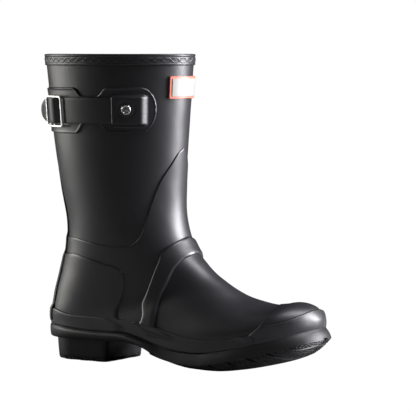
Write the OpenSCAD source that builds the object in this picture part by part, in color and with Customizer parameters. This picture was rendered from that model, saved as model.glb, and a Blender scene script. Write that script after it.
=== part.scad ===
// Short rubber rain boot for the right foot, with an adjusting strap and buckle on its outer side.
// +X runs to the toe, +Z up, +Y to the inner side of the leg. The origin is the middle of the heel's
// resting face on the ground. All sizes are in millimetres.

/* [Plies of the upper] */
// Thickness of the knitted lining
lining_t = 0.9; // [0.6:0.1:1.0]
// Thickness of the base rubber sheet
sheet_t = 1.6; // [1.2:0.1:1.8]
// Thickness of the overlay that covers the foot and ankle
vamp_t = 0.9; // [0.6:0.1:1.0]
// Thickness of the heel counter
counter_t = 1.1; // [0.8:0.1:1.2]
// Thickness of the band over the instep
band_t = 1.3; // [0.9:0.1:1.4]
// Thickness of the toe cap
cap_t = 1.0; // [0.7:0.1:1.1]
// Thickness of the rand along the side walls
rand_t = 1.6; // [1.2:0.1:1.8]
// Thickness of the guard round the toe
guard_t = 1.6; // [1.2:0.1:1.8]
// Thickness of the strip up the back seam
strip_t = 1.4; // [1.0:0.1:1.6]
// Half the width of the strip up the back seam
strip_half = 6; // [4:0.5:7]
// Depth of the binding below the rim
binding_h = 11; // [8:1:14]
// Thickness of the binding outside the rim
binding_t = 2; // [1.4:0.1:2.4]
// Film of rubber cement between two plies
cement = 0.3; // [0.25:0.05:0.3]

/* [Label] */
// Half the width of the label round the shin, in degrees of the leg ring
label_half = 26; // [20:1:28]
// Height of the label's top edge
label_top = 279; // [272:1:284]
// Height of the label
label_h = 22; // [18:1:24]
// Width of the label's coloured frame
frame_w = 2.2; // [1.5:0.1:3]

/* [Strap and buckle] */
// Width of the adjusting strap
strap_w = 23.5; // [20:0.5:25]
// Thickness of the adjusting strap
strap_t = 2; // [1.6:0.1:2]
// Outer height of the buckle frame
buckle_h = 31; // [30:0.5:34]
// Distance between the axes of the two end bars
buckle_l = 28; // [26:0.5:28]
// Radius of the buckle's wire
wire_r = 1; // [0.8:0.05:1]
// Radius of the rivet's head
rivet_r = 4.6; // [3.5:0.1:5]
// Radius of the rivet's shank
shank_r = 1.8; // [1.2:0.1:2]

/* [Sole] */
// Where the heel's front face is
heel_front = 33; // [30:1:34]
// Where the heel's back end is
heel_back = -38; // [-38:1:-36]
// Width of the heel
heel_w = 63; // [58:1:64]
// Radius of the heel's rear corners
heel_r = 27; // [20:1:28]
// Height of the tread blocks
tread_h = 4; // [3:0.5:4]
// Width of the grooves between the tread blocks
groove_w = 3; // [2:0.5:4]
// How far the outsole stands out past the upper's plies
lip = 3; // [2:0.5:4]

/* [Inside] */
// Thickness of the insole board
board_t = 1.6; // [1.2:0.1:2]
// Thickness of the foam footbed
footbed_t = 4; // [3:0.5:5]
// Thickness of the footbed's cloth cover
cover_t = 0.8; // [0.6:0.1:1]

/* [Mesh] */
// Facets round the leg
cols = 32; // [24:4:36]

/* [Hidden] */
rubber = [0.16, 0.16, 0.18];
$fn = 48;

// The outer face of the base sheet is lofted through rings that swing from level at the rim to
// upright at the toe. Each row: front or top point x, z; back or bottom point x, z; half width on
// the outer side, on the inner side; sideways shift; where the ring is widest; roundness exponents
// of the front half and of the back half.
RINGS = [
    [108, 300, -49, 300, 54, 54, 0,     0, 2.0, 2.0],
    [102, 216, -39, 214, 49, 49, 0,     0, 2.0, 2.0],
    [ 99, 175, -31, 170, 46, 46, 0,     0, 2.0, 2.0],
    [ 99, 147, -25, 138, 44, 44, 0,     0, 2.0, 2.0],
    [104, 125, -26, 112, 42, 42, 0,     0, 2.1, 2.1],
    [114, 109, -31,  86, 40, 40, 0, -0.05, 2.1, 2.2],
    [125,  98, -36,  60, 38, 38, 0, -0.10, 2.1, 2.4],
    [136,  89, -34,  38, 36, 35, 0, -0.15, 2.1, 2.7],
    [147,  82, -10,  31, 37, 35, 0, -0.30, 2.1, 3.0],
    [159,  75,  35,  30, 40, 36, 0, -0.40, 2.1, 3.2],
    [171,  69,  78,  26, 43, 39, 1, -0.45, 2.1, 3.4],
    [183,  65, 118,  20, 47, 44, 3, -0.45, 2.1, 3.4],
    [197,  62, 152,  20, 48, 46, 5, -0.40, 2.1, 3.4],
    [211,  62, 182,  25, 45, 44, 6, -0.35, 2.1, 3.2],
    [223,  64, 206,  32, 39, 39, 7, -0.30, 2.1, 3.0],
    [233,  62, 224,  38, 29, 31, 8, -0.25, 2.1, 2.8],
    [239,  58, 235,  43, 17, 18, 8, -0.20, 2.1, 2.6],
    [242,  50, 242,  50,  0,  0, 8,     0, 2.1, 2.4]];
TOE = len(RINGS) - 1;

// heights of the plies above the base sheet's outer face
vamp_in = cement;
vamp_out = vamp_in + vamp_t;
over_in = vamp_out + cement;
counter_out = over_in + counter_t;
band_out = over_in + band_t;
cap_out = over_in + cap_t;
lining_out = -sheet_t - cement;
lining_in = lining_out - lining_t;
// Ring number at a height on the leg, as [z, ring number]
LEG_RING = [[216, 1], [234, 0.75], [255.3, 0.5], [278.1, 0.25], [300, 0]];

// Edges of the plies as [angle from the shin, ring number]
VAMP_EDGE = [[0, 1.1], [9, 1.2], [17, 1.4], [26, 1.7], [34, 2.1], [44, 2.9], [51, 3.5], [61, 4.05],
    [69, 4.23], [84, 4.17], [107, 3.92], [130, 3.7], [180, 3.6]];
CAP_EDGE = [[0, 12.6], [8, 12.9], [45, 13.5], [74, 13.45], [90, 13.2], [180, 13.1]];
// Edges of the bands as [ring number, angle from the shin], from the middle line outwards
BAND_REAR = [[4.05, 0], [4.2, 17], [4.6, 38], [5.5, 50], [6.6, 60], [8.3, 73], [9, 85], [9.6, 105],
    [10, 126]];
BAND_FRONT = [[5.15, 0], [5.3, 20], [5.9, 37], [7, 50], [8, 59], [8.7, 69], [9.7, 89], [10.2, 105],
    [10.5, 126]];
RAND_TOP = [[6.45, 180], [6.5, 142], [7.4, 110], [8.3, 95], [9.2, 90], [10.4, 89], [11.6, 89],
    [12.5, 88], [13.1, 88]];
RAND_LOW = [[7.05, 180], [7.3, 155], [7.8, 140], [8.5, 132], [9.2, 130], [10.4, 128], [11.6, 128],
    [12.5, 128], [13.1, 128]];
GUARD_TOP = [[15.95, 0], [15.75, 35], [15.1, 64], [14.2, 75], [13.55, 75], [13.3, 83], [13.2, 88]];
GUARD_LOW = [[16.1, 180], [15.9, 152], [15.4, 138], [14.5, 132], [13.75, 129], [13.45, 128],
    [13.2, 128]];

// Sole lines as [x, z]: the top of the outsole, and its underside at the edge
SOLE_TOP = [[-60, 34], [-36, 31.6], [-20, 29.2], [0, 28.6], [35, 27.8], [57, 26.6], [78, 23.8],
    [100, 20], [118, 17.4], [135, 16.8], [152, 17.6], [168, 20], [182, 22], [206, 28.6],
    [224, 34], [235, 37.8], [262, 46]];
SOLE_UNDER = [[-60, 23], [heel_front, 22.5], [60, 22.2], [78, 19.4], [90, 15], [102, 9.5], [115, 6],
    [135, 4.2], [160, 4.2], [180, 7.5], [200, 11.5], [220, 17], [236, 23], [262, 36]];
// Plan of the foot's base sheet at its widest, as [x, y on the outer side, y on the inner side]
PLAN = [[-36, -7, 7], [-34, -14, 14], [-29, -21, 21], [-20, -28, 28], [-8, -33, 32], [16, -37, 35],
    [50, -39, 36], [88, -42, 39], [112, -43, 44], [136, -44, 48], [160, -44, 51], [184, -41, 51],
    [204, -35, 49], [218, -28, 45], [231, -19, 38], [239, -10, 29], [244, -1, 19]];

// ---- the lofted surface -----------------------------------------------------------------------
// The ring past the toe tip is the last one seen through the tip, which keeps the tip round
PAST_TIP = [239, 42, 235, 57, -17, -18, 8, -0.2, 2.1, 2.4];
function ring_at(k) = k < 0 ? 2 * RINGS[0] - RINGS[1] : k > TOE ? PAST_TIP : RINGS[k];
function ring(s) = let (i = min(floor(s), TOE - 1), t = s - i,
        a = ring_at(i - 1), b = ring_at(i), c = ring_at(i + 1), d = ring_at(i + 2))
    0.5 * (2 * b + (c - a) * t + (2 * a - 5 * b + 4 * c - d) * t * t
        + (3 * b - a - 3 * c + d) * t * t * t);
function ring_point(s, a) = let (q = ring(s), n = cos(a) >= 0 ? q[8] : q[9],
        r = pow(pow(abs(cos(a)), n) + pow(abs(sin(a)), n), -1 / n),
        p = q[7] + (cos(a) >= 0 ? 1 - q[7] : 1 + q[7]) * r * cos(a),
        w = sin(a) >= 0 ? q[5] : q[4])
    [(q[0] + q[2]) / 2 + (q[0] - q[2]) / 2 * p, q[6] + w * r * sin(a),
        (q[1] + q[3]) / 2 + (q[1] - q[3]) / 2 * p];
// The whole surface laid out as a disc: the toe tip is its centre, the rim its edge
function disc(s, a) = (TOE - s) * [sin(a), cos(a)];
function skin(p) = ring_point(max(0, TOE - norm(p)), atan2(p[0], p[1]));
function outward(p) = let (e = 0.04,
        n = cross(skin(p + [e, 0]) - skin(p - [e, 0]), skin(p + [0, e]) - skin(p - [0, e])))
    n / norm(n);
function raised(p, h) = skin(p) + h * outward(p);
function leg_disc(a, z) = disc(lookup(z, LEG_RING), a);
function leg(a, z, h) = raised(leg_disc(a, z), h);
function mix(a, b, t) = a + (b - a) * t;
function along(pts, t) = let (i = min(floor(t), len(pts) - 2)) mix(pts[i], pts[i + 1], t - i);

// ---- solids from two grids of points, an outer and an inner -------------------------------------
function quad(a, b, c, d) = [[a, b, c], [a, c, d]];
function flat(grid) = [for (row = grid) each row];
// faces of a ribbon between two lists of point numbers
function ribbon(u, v, closed) = [for (k = [0 : len(u) - (closed ? 1 : 2)])
    let (m = (k + 1) % len(u)) each quad(u[k], u[m], v[m], v[k])];
module solid(outer, inner, closed = false, tip = []) {
    m = len(outer);
    n = len(outer[0]);
    function row(i, base) = [for (j = [0 : n - 1]) base + i * n + j];
    side = m * n;
    tips = 2 * side;
    skins = [for (i = [0 : m - 2]) each concat(ribbon(row(i, 0), row(i + 1, 0), closed),
        ribbon(row(i + 1, side), row(i, side), closed))];
    top = ribbon(row(0, side), row(0, 0), closed);
    bottom = ribbon(row(m - 1, 0), row(m - 1, side), closed);
    function edge(j, base) = [for (i = [0 : m - 1]) base + i * n + j];
    ends = concat(ribbon(edge(0, 0), edge(0, side), false),
        ribbon(edge(n - 1, side), edge(n - 1, 0), false));
    fan = [for (j = [0 : n - 1]) let (k = (j + 1) % n)
        each [[(m - 1) * n + j, (m - 1) * n + k, tips],
            [side + (m - 1) * n + j, tips + 1, side + (m - 1) * n + k]]];
    polyhedron(points = concat(flat(outer), flat(inner), tip),
        faces = tip == [] ? concat(skins, top, bottom, closed ? [] : ends) : concat(skins, top, fan));
}
// A sock-shaped ply from an edge line down to the toe tip
FOOT_ROWS = [5.4, 5.8, 6.2, 6.5, 6.8, 7.1, 7.4, 7.7, 8.1, 8.6, 9.2, 9.9, 10.6, 11.3, 12, 12.7, 13.4,
    14, 14.6, 15.2, 15.7, 16.2, 16.6];
module sock(edge, lead, h_in, h_out) {
    function top(a) = lookup(a > 180 ? 360 - a : a, edge);
    function station(a, k) = k <= lead ? mix(top(a), 5, k / lead) : FOOT_ROWS[k - lead - 1];
    function grid(h) = [for (k = [0 : lead + len(FOOT_ROWS)])
        [for (j = [0 : cols - 1]) let (a = 360 * j / cols) raised(disc(station(a, k), a), h)]];
    tip = [242, 8, 50];
    solid(grid(h_out), grid(h_in), true, [tip + [h_out, 0, 0], tip + [h_in, 0, 0]]);
}
// A band between two edge lines, mirrored about the middle of the foot
function mirrored(pts, t) = let (q = along(pts, abs(t))) disc(q[0], t < 0 ? -q[1] : q[1]);
module band(upper, lower, steps, heights, t, rows = 2) {
    last = len(upper) - 1;
    ts = [for (k = [-steps : steps]) last * k / steps];
    function grid(extra) = [for (r = [0 : rows]) [for (k = ts)
        raised(mix(mirrored(upper, k), mirrored(lower, k), r / rows), lookup(abs(k), heights) + extra)]];
    solid(grid(t), grid(0));
}
// A patch on the leg between two height lines, given as [angle, z]
module leg_patch(a0, a1, steps, upper, lower, h_in, h_out, rows = 3) {
    function grid(h) = [for (r = [0 : rows]) [for (k = [0 : steps]) let (a = mix(a0, a1, k / steps))
        leg(a, mix(lookup(a, upper), lookup(a, lower), r / rows), lookup(a, h))]];
    solid(grid(h_out), grid(h_in));
}

// ---- the upper ----------------------------------------------------------------------------------
module lining() { color([0.62, 0.6, 0.58]) sock([[0, 0.024], [180, 0.024]], 8, lining_in, lining_out); }
module base_sheet() { color(rubber) sock([[0, 0.024], [180, 0.024]], 8, -sheet_t, 0); }
module vamp_overlay() { color(rubber * 1.1) sock(VAMP_EDGE, 4, vamp_in, vamp_out); }
module toe_cap() {
    rows = [0.08, 0.25, 0.42, 0.58, 0.72, 0.84, 0.93];
    function grid(h) = [for (k = [-1 : len(rows) - 1]) [for (j = [0 : cols - 1])
        let (a = 360 * j / cols, top = lookup(a > 180 ? 360 - a : a, CAP_EDGE))
        raised(disc(k < 0 ? top : mix(top, TOE, rows[k]), a), h)]];
    tip = [242, 8, 50];
    color(rubber) solid(grid(cap_out), grid(over_in), true,
        [tip + [cap_out, 0, 0], tip + [over_in, 0, 0]]);
}
module heel_counter() {
    top = [[0, 4.3], [0.5, 4.33], [0.75, 4.6], [0.9, 4.9], [1, 5.1]];
    low = [[0, 6.9], [0.4, 7.1], [0.7, 7.6], [1, 8.6]];
    front = [[0, 98], [0.15, 105], [0.33, 104], [0.62, 98], [0.85, 87], [1, 54]];
    rows = [0, 0.12, 0.24, 0.36, 0.47, 0.56, 0.64, 0.71, 0.78, 0.84, 0.89, 0.93, 0.97, 1];
    function grid(h) = [for (v = rows) [for (t = [-1 : 1 / 19 : 1.001])
        raised(disc(mix(lookup(abs(t), top), lookup(abs(t), low), v), 180 + t * lookup(v, front)), h)]];
    color(rubber) solid(grid(over_in), grid(counter_out));
}
module instep_band() {
    color(rubber) band(BAND_REAR, BAND_FRONT, 24, [[0, over_in], [8, over_in]], band_t);
}
// The rand rides up over the counter and the instep band, and ends where the toe guard starts
RAND_LIFT = [[0, counter_out + 0.4], [4, counter_out + 0.4], [4.3, band_out + cement],
    [5.4, band_out + cement], [6, over_in], [7.2, over_in], [7.7, cap_out + cement],
    [8, cap_out + cement]];
module rand() { color(rubber) band(RAND_LOW, RAND_TOP, 32, RAND_LIFT, rand_t, 3); }
module toe_guard() {
    color(rubber) band(GUARD_LOW, GUARD_TOP, 24, [[0, cap_out + 2 * cement], [6, cap_out + 2 * cement]],
        guard_t, 4);
}
module back_strip() {
    lift = [[0, cement], [3.4, cement], [3.5, over_in], [4.1, over_in], [4.2, counter_out + cement],
        [6.2, counter_out + cement], [6.35, counter_out + rand_t + 2 * cement],
        [7.2, counter_out + rand_t + 2 * cement]];
    rows = [0.15, 0.4, 0.7, 1, 1.4, 1.8, 2.2, 2.6, 3, 3.4, 3.55, 3.8, 4.05, 4.25, 4.5, 4.8, 5.1, 5.4,
        5.7, 6, 6.2, 6.4, 6.6, 6.8, 6.95];
    function grid(h) = [for (s = rows) [for (k = [-2 : 2])
        let (a = asin(k / 2 * strip_half / ring(s)[4])) raised(disc(s, 180 + a), lookup(s, lift) + h)]];
    color(rubber) solid(grid(0), grid(strip_t));
}
module rim_binding() {
    low = 300 - binding_h;
    in = lining_in - cement;
    outer = [[binding_t, low], [binding_t, 293], [binding_t, 299.2], [binding_t - 0.6, 300],
        [in - 0.2, 300], [in - 0.9, 299.4], [in - 0.9, 296]];
    inner = [[cement, low], [cement, 293], [cement, 298.3], [0, 298.4], [lining_in, 298.4],
        [in, 298.3], [in, 296]];
    function grid(list) = [for (q = list) [for (j = [0 : cols - 1]) leg(360 * j / cols, q[1], q[0])]];
    color(rubber) solid(grid(outer), grid(inner), true);
}

// ---- label on the shin -------------------------------------------------------------------------
label_base_t = 1.6;
module label_frame() {
    top = [[-90, label_top], [90, label_top]];
    low = [[-90, label_top - label_h], [90, label_top - label_h]];
    color([0.85, 0.32, 0.25]) leg_patch(-label_half, label_half, 12, top, low,
        [[0, cement]], [[0, cement + label_base_t]]);
}
module label_plate() {
    top = [[-90, label_top - frame_w], [90, label_top - frame_w]];
    low = [[-90, label_top - label_h + frame_w], [90, label_top - label_h + frame_w]];
    edge = label_half - frame_w * 1.25;
    color([0.9, 0.9, 0.87]) leg_patch(-edge, edge, 12, top, low,
        [[0, label_base_t + 2 * cement]], [[0, label_base_t + 2 * cement + 0.6]]);
}

// ---- strap and buckle ---------------------------------------------------------------------------
strap_z = 246.5;    // height of the strap's middle line
buckle_a = -126.5;  // where on the leg ring the buckle sits
buckle_z = 246;     // height of its middle
buckle_lift = 5.4;  // height of its centre bar above the leg
rivet_a = -61.5;    // where the rivet sits
patch_out = cement + 1;
strap_in = patch_out + cement + 1;
cap_in = strap_in + strap_t + cement;
strap_cap_t = 1.4;
PATCH_TOP = [[-165, 256], [-162, 263], [-156, 267], [-106, 267], [-100, 262], [-97, 260], [-84, 260],
    [-82, 262], [-78, 267], [-54, 268], [-47, 266], [-42, 260], [-38, 253], [-36, 248]];
PATCH_LOW = [[-165, 238], [-162, 231], [-156, 226], [-106, 225], [-100, 230], [-97, 234], [-84, 234],
    [-82, 232], [-78, 226], [-54, 226], [-47, 228], [-42, 234], [-38, 241], [-36, 246]];
PATCH_STEPS = [-165, -162, -156, -148, -139, -130, -122, -114, -106, -100, -97, -90, -84, -82, -78,
    -70, -62, -54, -47, -42, -38, -36];
// Height of the strap's inner face above the leg, as [angle from the buckle, height]: low under the
// end bars, high over the centre bar, and lifting off the leg behind the buckle
STRAP_LIFT = [[-26, 10.4], [-22, 7.6], [-18, 4.4], [-14, 2.3], [-10, 2.5], [-6, 5], [-3, 6.9],
    [0, 7.5], [3, 6.9], [6, 5], [10, 2.5], [14, 2.2], [18, 2.3], [26, strap_in], [80, strap_in]];
STRAP_STEPS = [-26, -24.5, -22, -18, -14, -10, -6, -3, 0, 3, 6, 10, 14, 18, 26, 34, 42, 50, 58, 66, 72,
    76.5];

// A frame on the leg with -Y straight out of it and +Z up along it
module on_leg(a, z, h) {
    p = leg(a, z, h);
    n = outward(leg_disc(a, z));
    translate(p) rotate([0, 0, atan2(n[0], -n[1])]) rotate([asin(-n[2]), 0, 0]) children();
}
module strap_hole(r) {
    on_leg(rivet_a, strap_z, 0) rotate([90, 0, 0]) translate([0, 0, -4]) cylinder(r = r, h = 20);
}
module strap_base() {
    function grid(h) = [for (r = [0 : 3]) [for (a = PATCH_STEPS)
        leg(a, mix(lookup(a, PATCH_TOP), lookup(a, PATCH_LOW), r / 3), h)]];
    color(rubber) solid(grid(patch_out), grid(cement));
}
module strap() {
    // the free end is rounded
    function half(a) = a < -18 ? strap_w / 2 * sqrt(max(0.05, 1 - pow((-18 - a) / 8.2, 2)))
        : strap_w / 2;
    function grid(h) = [for (r = [-1, -0.35, 0.35, 1]) [for (a = STRAP_STEPS)
        leg(buckle_a + a, strap_z - r * half(a), lookup(a, STRAP_LIFT) + h)]];
    color(rubber * 1.1) difference() {
        solid(grid(strap_t), grid(0));
        strap_hole(shank_r + 0.05);
    }
}
module strap_cap() {
    wall = 2;
    half = strap_w / 2 + 1.1 + wall;
    steps = [-71.5, -66, -60, -54, -49, -48, -46, -44.5];
    rows = [-half, -half + wall, -half + wall + 0.5, -5, 0, 5, half - wall - 0.5, half - wall, half];
    floor_h = patch_out + cement;
    function under(a, r) = a > -49 || abs(r) > half - wall - 0.1 ? floor_h : cap_in;
    function over(a, r) = a > -45 || abs(r) == half ? floor_h + 1.2
        : a > -47 ? cap_in + 0.6 : cap_in + strap_cap_t;
    function grid(f) = [for (r = rows) [for (a = steps) leg(a, strap_z - r, f(a, r))]];
    color(rubber) difference() {
        solid(grid(function (a, r) over(a, r)), grid(function (a, r) under(a, r)));
        strap_hole(shank_r + 0.05);
    }
}
module strap_rivet() {
    head_at = cap_in + strap_cap_t + 0.4;
    color([0.75, 0.75, 0.77]) on_leg(rivet_a, strap_z, 0) rotate([90, 0, 0]) {
        difference() {
            translate([0, 0, head_at]) cylinder(r = rivet_r, h = 1.6);
            translate([0, 0, head_at + 0.9]) cylinder(r = rivet_r - 1.5, h = 2);
        }
        translate([0, 0, patch_out + cement]) cylinder(r = shank_r, h = head_at - patch_out - cement);
    }
}
module rivet_washer() {
    color([0.7, 0.7, 0.72]) on_leg(rivet_a, strap_z, 0) rotate([90, 0, 0])
        translate([0, 0, patch_out + cement]) difference() {
            cylinder(r = 3.6, h = 0.7);
            translate([0, 0, -1]) cylinder(r = shank_r + 0.05, h = 3);
        }
}
module buckle_frame() {
    half_h = buckle_h / 2 - wire_r;
    half_l = buckle_l / 2;
    color([0.78, 0.78, 0.8]) on_leg(buckle_a, buckle_z, buckle_lift) {
        for (x = [-half_l, 0, half_l])
            translate([x, 0, -half_h]) cylinder(r = wire_r, h = 2 * half_h);
        for (z = [-half_h, half_h]) {
            translate([-half_l, 0, z]) rotate([0, 90, 0]) cylinder(r = wire_r, h = 2 * half_l);
            for (x = [-half_l, half_l]) translate([x, 0, z]) sphere(r = wire_r);
        }
    }
}
module buckle_chape() {
    bore_r = wire_r + 0.06;
    loop_r = bore_r + 0.7;
    color(rubber) on_leg(buckle_a, buckle_z, buckle_lift) difference() {
        union() {
            translate([0, 0, -8]) cylinder(r = loop_r, h = 16);
            translate([-1.2, 0, -8]) cube([2.4, 2.9, 16]);
            translate([-6, 2.3, -8]) cube([12, 0.7, 16]);
        }
        translate([0, 0, -20]) cylinder(r = bore_r, h = 40);
    }
}

// ---- sole ---------------------------------------------------------------------------------------
// Outline of the sole's plan, grown outwards by g
function turned(list) = [for (k = [len(list) - 1 : -1 : 0]) list[k]];
OUTLINE = concat([for (q = PLAN) [q[0], q[1]]], turned([for (q = PLAN) [q[0], q[2]]]));
module plan(g) {
    n = len(OUTLINE);
    polygon([for (k = [0 : n - 1]) let (d = OUTLINE[(k + 1) % n] - OUTLINE[(k + n - 1) % n])
        OUTLINE[k] + g * [d[1], -d[0]] / norm(d)]);
}
// A prism seen from the side, between two lines of [x, z], cut to the plan
function shifted(line, dz) = [for (q = line) [q[0], q[1] + dz]];
module slab(top, low, g) {
    intersection() {
        translate([0, 0, -5]) linear_extrude(120) plan(g);
        translate([0, 100, 0]) rotate([90, 0, 0]) linear_extrude(200)
            polygon(concat(top, turned(low)));
    }
}
module heel_plan(g = 0) {
    hull_r = heel_r + g;
    half = heel_w / 2 + g;
    union() {
        translate([heel_back + heel_r, -half]) square([heel_front + g - heel_back - heel_r, 2 * half]);
        translate([heel_back - g, -(half - hull_r)]) square([heel_r + g, 2 * (half - hull_r)]);
        for (y = [-1, 1]) translate([heel_back + heel_r, y * (half - hull_r)]) circle(r = hull_r);
    }
}
plies_out = counter_out + rand_t + cement;
module outsole() {
    color(rubber) difference() {
        slab(SOLE_TOP, SOLE_UNDER, plies_out + lip);
        shank_pocket(0.3);
    }
}
module shank_pocket(g) {
    translate([20 - g, -8 - g, 24.2 - g]) cube([70 + 2 * g, 16 + 2 * g, 1.6 + 2 * g]);
}
module shank() {
    color([0.6, 0.6, 0.62]) translate([20, -8, 24.2]) cube([48, 16, 1.2]);
}
module heel_block() {
    color(rubber) difference() {
        translate([0, 0, tread_h]) linear_extrude(heel_z - tread_h) heel_plan();
        translate([0, 0, tread_h + 3]) linear_extrude(30) heel_plan(-9);
    }
}
heel_z = 22.3; // top of the heel block, below the outsole's seat
module heel_core() {
    color([0.45, 0.42, 0.38]) translate([0, 0, tread_h + 3.3])
        linear_extrude(heel_z - tread_h - 3.6) heel_plan(-9.3);
}
web_t = 1; // web that joins the tread blocks
film = 0.2; // film of rubber between the tread and the outsole
// The tread blocks are squares parted by grooves
module tread_plan(pitch, x0, x1, y0, y1) {
    for (x = [x0 : pitch : x1]) for (y = [y0 : pitch : y1])
        translate([x, y]) square([pitch - groove_w, pitch - groove_w], center = true);
}
module heel_tread() {
    color(rubber) union() {
        translate([0, 0, tread_h - web_t]) linear_extrude(web_t - 0.02) heel_plan(-0.5);
        linear_extrude(tread_h - 0.5) intersection() {
            heel_plan(-0.5);
            tread_plan(12, -36, 36, -36, 36);
        }
    }
}
module forefoot_tread() {
    ball = [for (q = SOLE_UNDER) if (q[0] > 95 && q[0] < 245) q];
    color(rubber) {
        slab(shifted(ball, -film), shifted(ball, -film - web_t), plies_out + lip - 1.5);
        intersection() {
            slab(shifted(ball, -film - web_t / 2), shifted(ball, -film - tread_h), plies_out + lip - 1.5);
            translate([0, 0, -1]) linear_extrude(60) tread_plan(13, 104, 247, -52, 60);
        }
    }
}

// ---- inside ------------------------------------------------------------------------------------
// Sheets that lie along the bottom of the boot, following the lining's inner face
FLOOR_ROWS = [7.45, 7.55, 7.7, 7.9, 8.1, 8.4, 8.8, 9.3, 9.8, 10.4, 11, 11.6, 12.2, 12.8, 13.4, 13.9,
    14.4, 14.9, 15.3, 15.6, 15.75];
// Half the angle that they cover on each ring, as [ring number, degrees]
FLOOR_HALF = [[7.45, 18], [7.55, 24], [7.7, 29], [8.1, 34], [9, 38], [14.4, 38], [15.3, 34],
    [15.6, 26], [15.75, 18]];
module floor_sheet(low, high, narrow = 0) {
    function grid(h) = [for (s = FLOOR_ROWS) [for (k = [-4 : 4])
        raised(disc(s, 180 + k / 4 * (lookup(s, FLOOR_HALF) - narrow)), lining_in - h)]];
    solid(grid(low), grid(high));
}
board_at = 0.6;
footbed_at = board_at + board_t + 0.4;
module insole_board() { color([0.7, 0.6, 0.45]) floor_sheet(board_at, board_at + board_t); }
module footbed() { color([0.2, 0.25, 0.35]) floor_sheet(footbed_at, footbed_at + footbed_t, 2); }
module footbed_cover() {
    cover_at = footbed_at + footbed_t + 0.05;
    color([0.35, 0.35, 0.38]) floor_sheet(cover_at, cover_at + cover_t, 2);
}

lining();
base_sheet();
vamp_overlay();
heel_counter();
instep_band();
toe_cap();
rand();
toe_guard();
back_strip();
rim_binding();
label_frame();
label_plate();
strap_base();
strap();
strap_cap();
strap_rivet();
rivet_washer();
buckle_frame();
buckle_chape();
insole_board();
footbed();
footbed_cover();
outsole();
shank();
heel_block();
heel_core();
heel_tread();
forefoot_tread();
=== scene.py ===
"""Looks of a short rubber rain boot for the right foot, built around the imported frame."""

import math

import bmesh
import bpy
import numpy as np
from mathutils import Matrix, Vector
from mathutils.kdtree import KDTree


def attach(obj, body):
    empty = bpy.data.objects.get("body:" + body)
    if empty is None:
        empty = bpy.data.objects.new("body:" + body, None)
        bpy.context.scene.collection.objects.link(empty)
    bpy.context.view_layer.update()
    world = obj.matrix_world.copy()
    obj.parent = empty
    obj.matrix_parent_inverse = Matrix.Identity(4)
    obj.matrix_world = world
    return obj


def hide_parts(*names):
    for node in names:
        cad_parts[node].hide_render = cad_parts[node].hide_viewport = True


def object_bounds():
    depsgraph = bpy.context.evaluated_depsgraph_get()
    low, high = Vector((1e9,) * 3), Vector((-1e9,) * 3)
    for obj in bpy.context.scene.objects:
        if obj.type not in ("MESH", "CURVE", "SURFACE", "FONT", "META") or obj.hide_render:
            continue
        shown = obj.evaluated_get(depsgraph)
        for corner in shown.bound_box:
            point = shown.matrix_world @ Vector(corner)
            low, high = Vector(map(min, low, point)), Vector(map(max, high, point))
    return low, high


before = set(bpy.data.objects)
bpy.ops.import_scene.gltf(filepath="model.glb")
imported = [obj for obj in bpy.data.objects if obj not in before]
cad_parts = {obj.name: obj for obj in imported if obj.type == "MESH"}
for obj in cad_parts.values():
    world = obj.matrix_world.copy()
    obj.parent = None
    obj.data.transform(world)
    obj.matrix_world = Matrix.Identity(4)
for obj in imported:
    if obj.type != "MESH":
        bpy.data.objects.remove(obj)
cad_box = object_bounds()

# ---- lining --------------------------------------------------------------------------------------
# A knitted sock drawn over the last before any rubber is laid on. Every rubber ply follows the same
# last, so the last's rings are given here: front or top point x, z; back or bottom point x, z; half
# width on the outer side and on the inner side; sideways shift; widest place; roundness of each half.
RINGS = np.array([
    [239, 300, -49, 300, 54, 54, 0, 0, 2.0, 2.0],
    [108, 300, -51, 300, 54, 54, 0, 0, 2.0, 2.0],
    [102, 216, -41.3, 214, 49, 49, 0, 0, 2.0, 2.0],
    [99, 175, -32.6, 170, 46, 46, 0, 0, 2.0, 2.0],
    [99, 147, -26.2, 138, 44, 44, 0, 0, 2.0, 2.0],
    [104, 125, -26.2, 112, 42, 42, 0, 0, 2.1, 2.1],
    [114, 109, -32, 86, 40, 40, 0, -0.05, 2.1, 2.2],
    [125, 98, -38, 60, 38.5, 38, 0, -0.10, 2.1, 2.5],
    [136, 89, -38, 36, 37.5, 36, 0, -0.15, 2.1, 3.0],
    [147, 82, -15, 30, 38, 36, 0, -0.30, 2.1, 3.3],
    [159, 75, 35, 30, 40, 36, 0, -0.40, 2.1, 3.2],
    [171, 69, 78, 26, 43, 39, 1, -0.45, 2.1, 3.4],
    [183, 65, 118, 20, 47, 44, 3, -0.45, 2.1, 3.4],
    [197, 62, 152, 20, 48, 46, 5, -0.40, 2.1, 3.4],
    [211, 62, 182, 25, 45, 44, 6, -0.35, 2.1, 3.2],
    [223, 64, 206, 32, 39, 39, 7, -0.30, 2.1, 3.0],
    [233, 62, 224, 38, 29, 31, 8, -0.25, 2.1, 2.8],
    [239, 58, 235, 43, 17, 18, 8, -0.20, 2.1, 2.6],
    [242, 50, 242, 50, 0, 0, 8, 0, 2.1, 2.4],
    [239, 42, 235, 57, -17, -18, 8, -0.2, 2.1, 2.4]])
RINGS[0] = 2 * RINGS[1] - RINGS[2]  # the first and the last ring only guide the curve's ends
TOE = len(RINGS) - 3
LINING_IN, LINING_OUT = -2.8, -1.9
# Rows of a mesh crowd together by a cut edge, at these distances from it
EDGE_ROWS = (0.0, 0.12, 0.3, 0.6, 1.0, 1.5, 2.2)


def between(before, start, end, after, t):
    """Smooth curve from start to end that heads the way its neighbours lie."""
    return 0.5 * (2 * start + (end - before) * t + (2 * before - 5 * start + 4 * end - after) * t**2
                  + (3 * start - before - 3 * end + after) * t**3)


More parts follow.
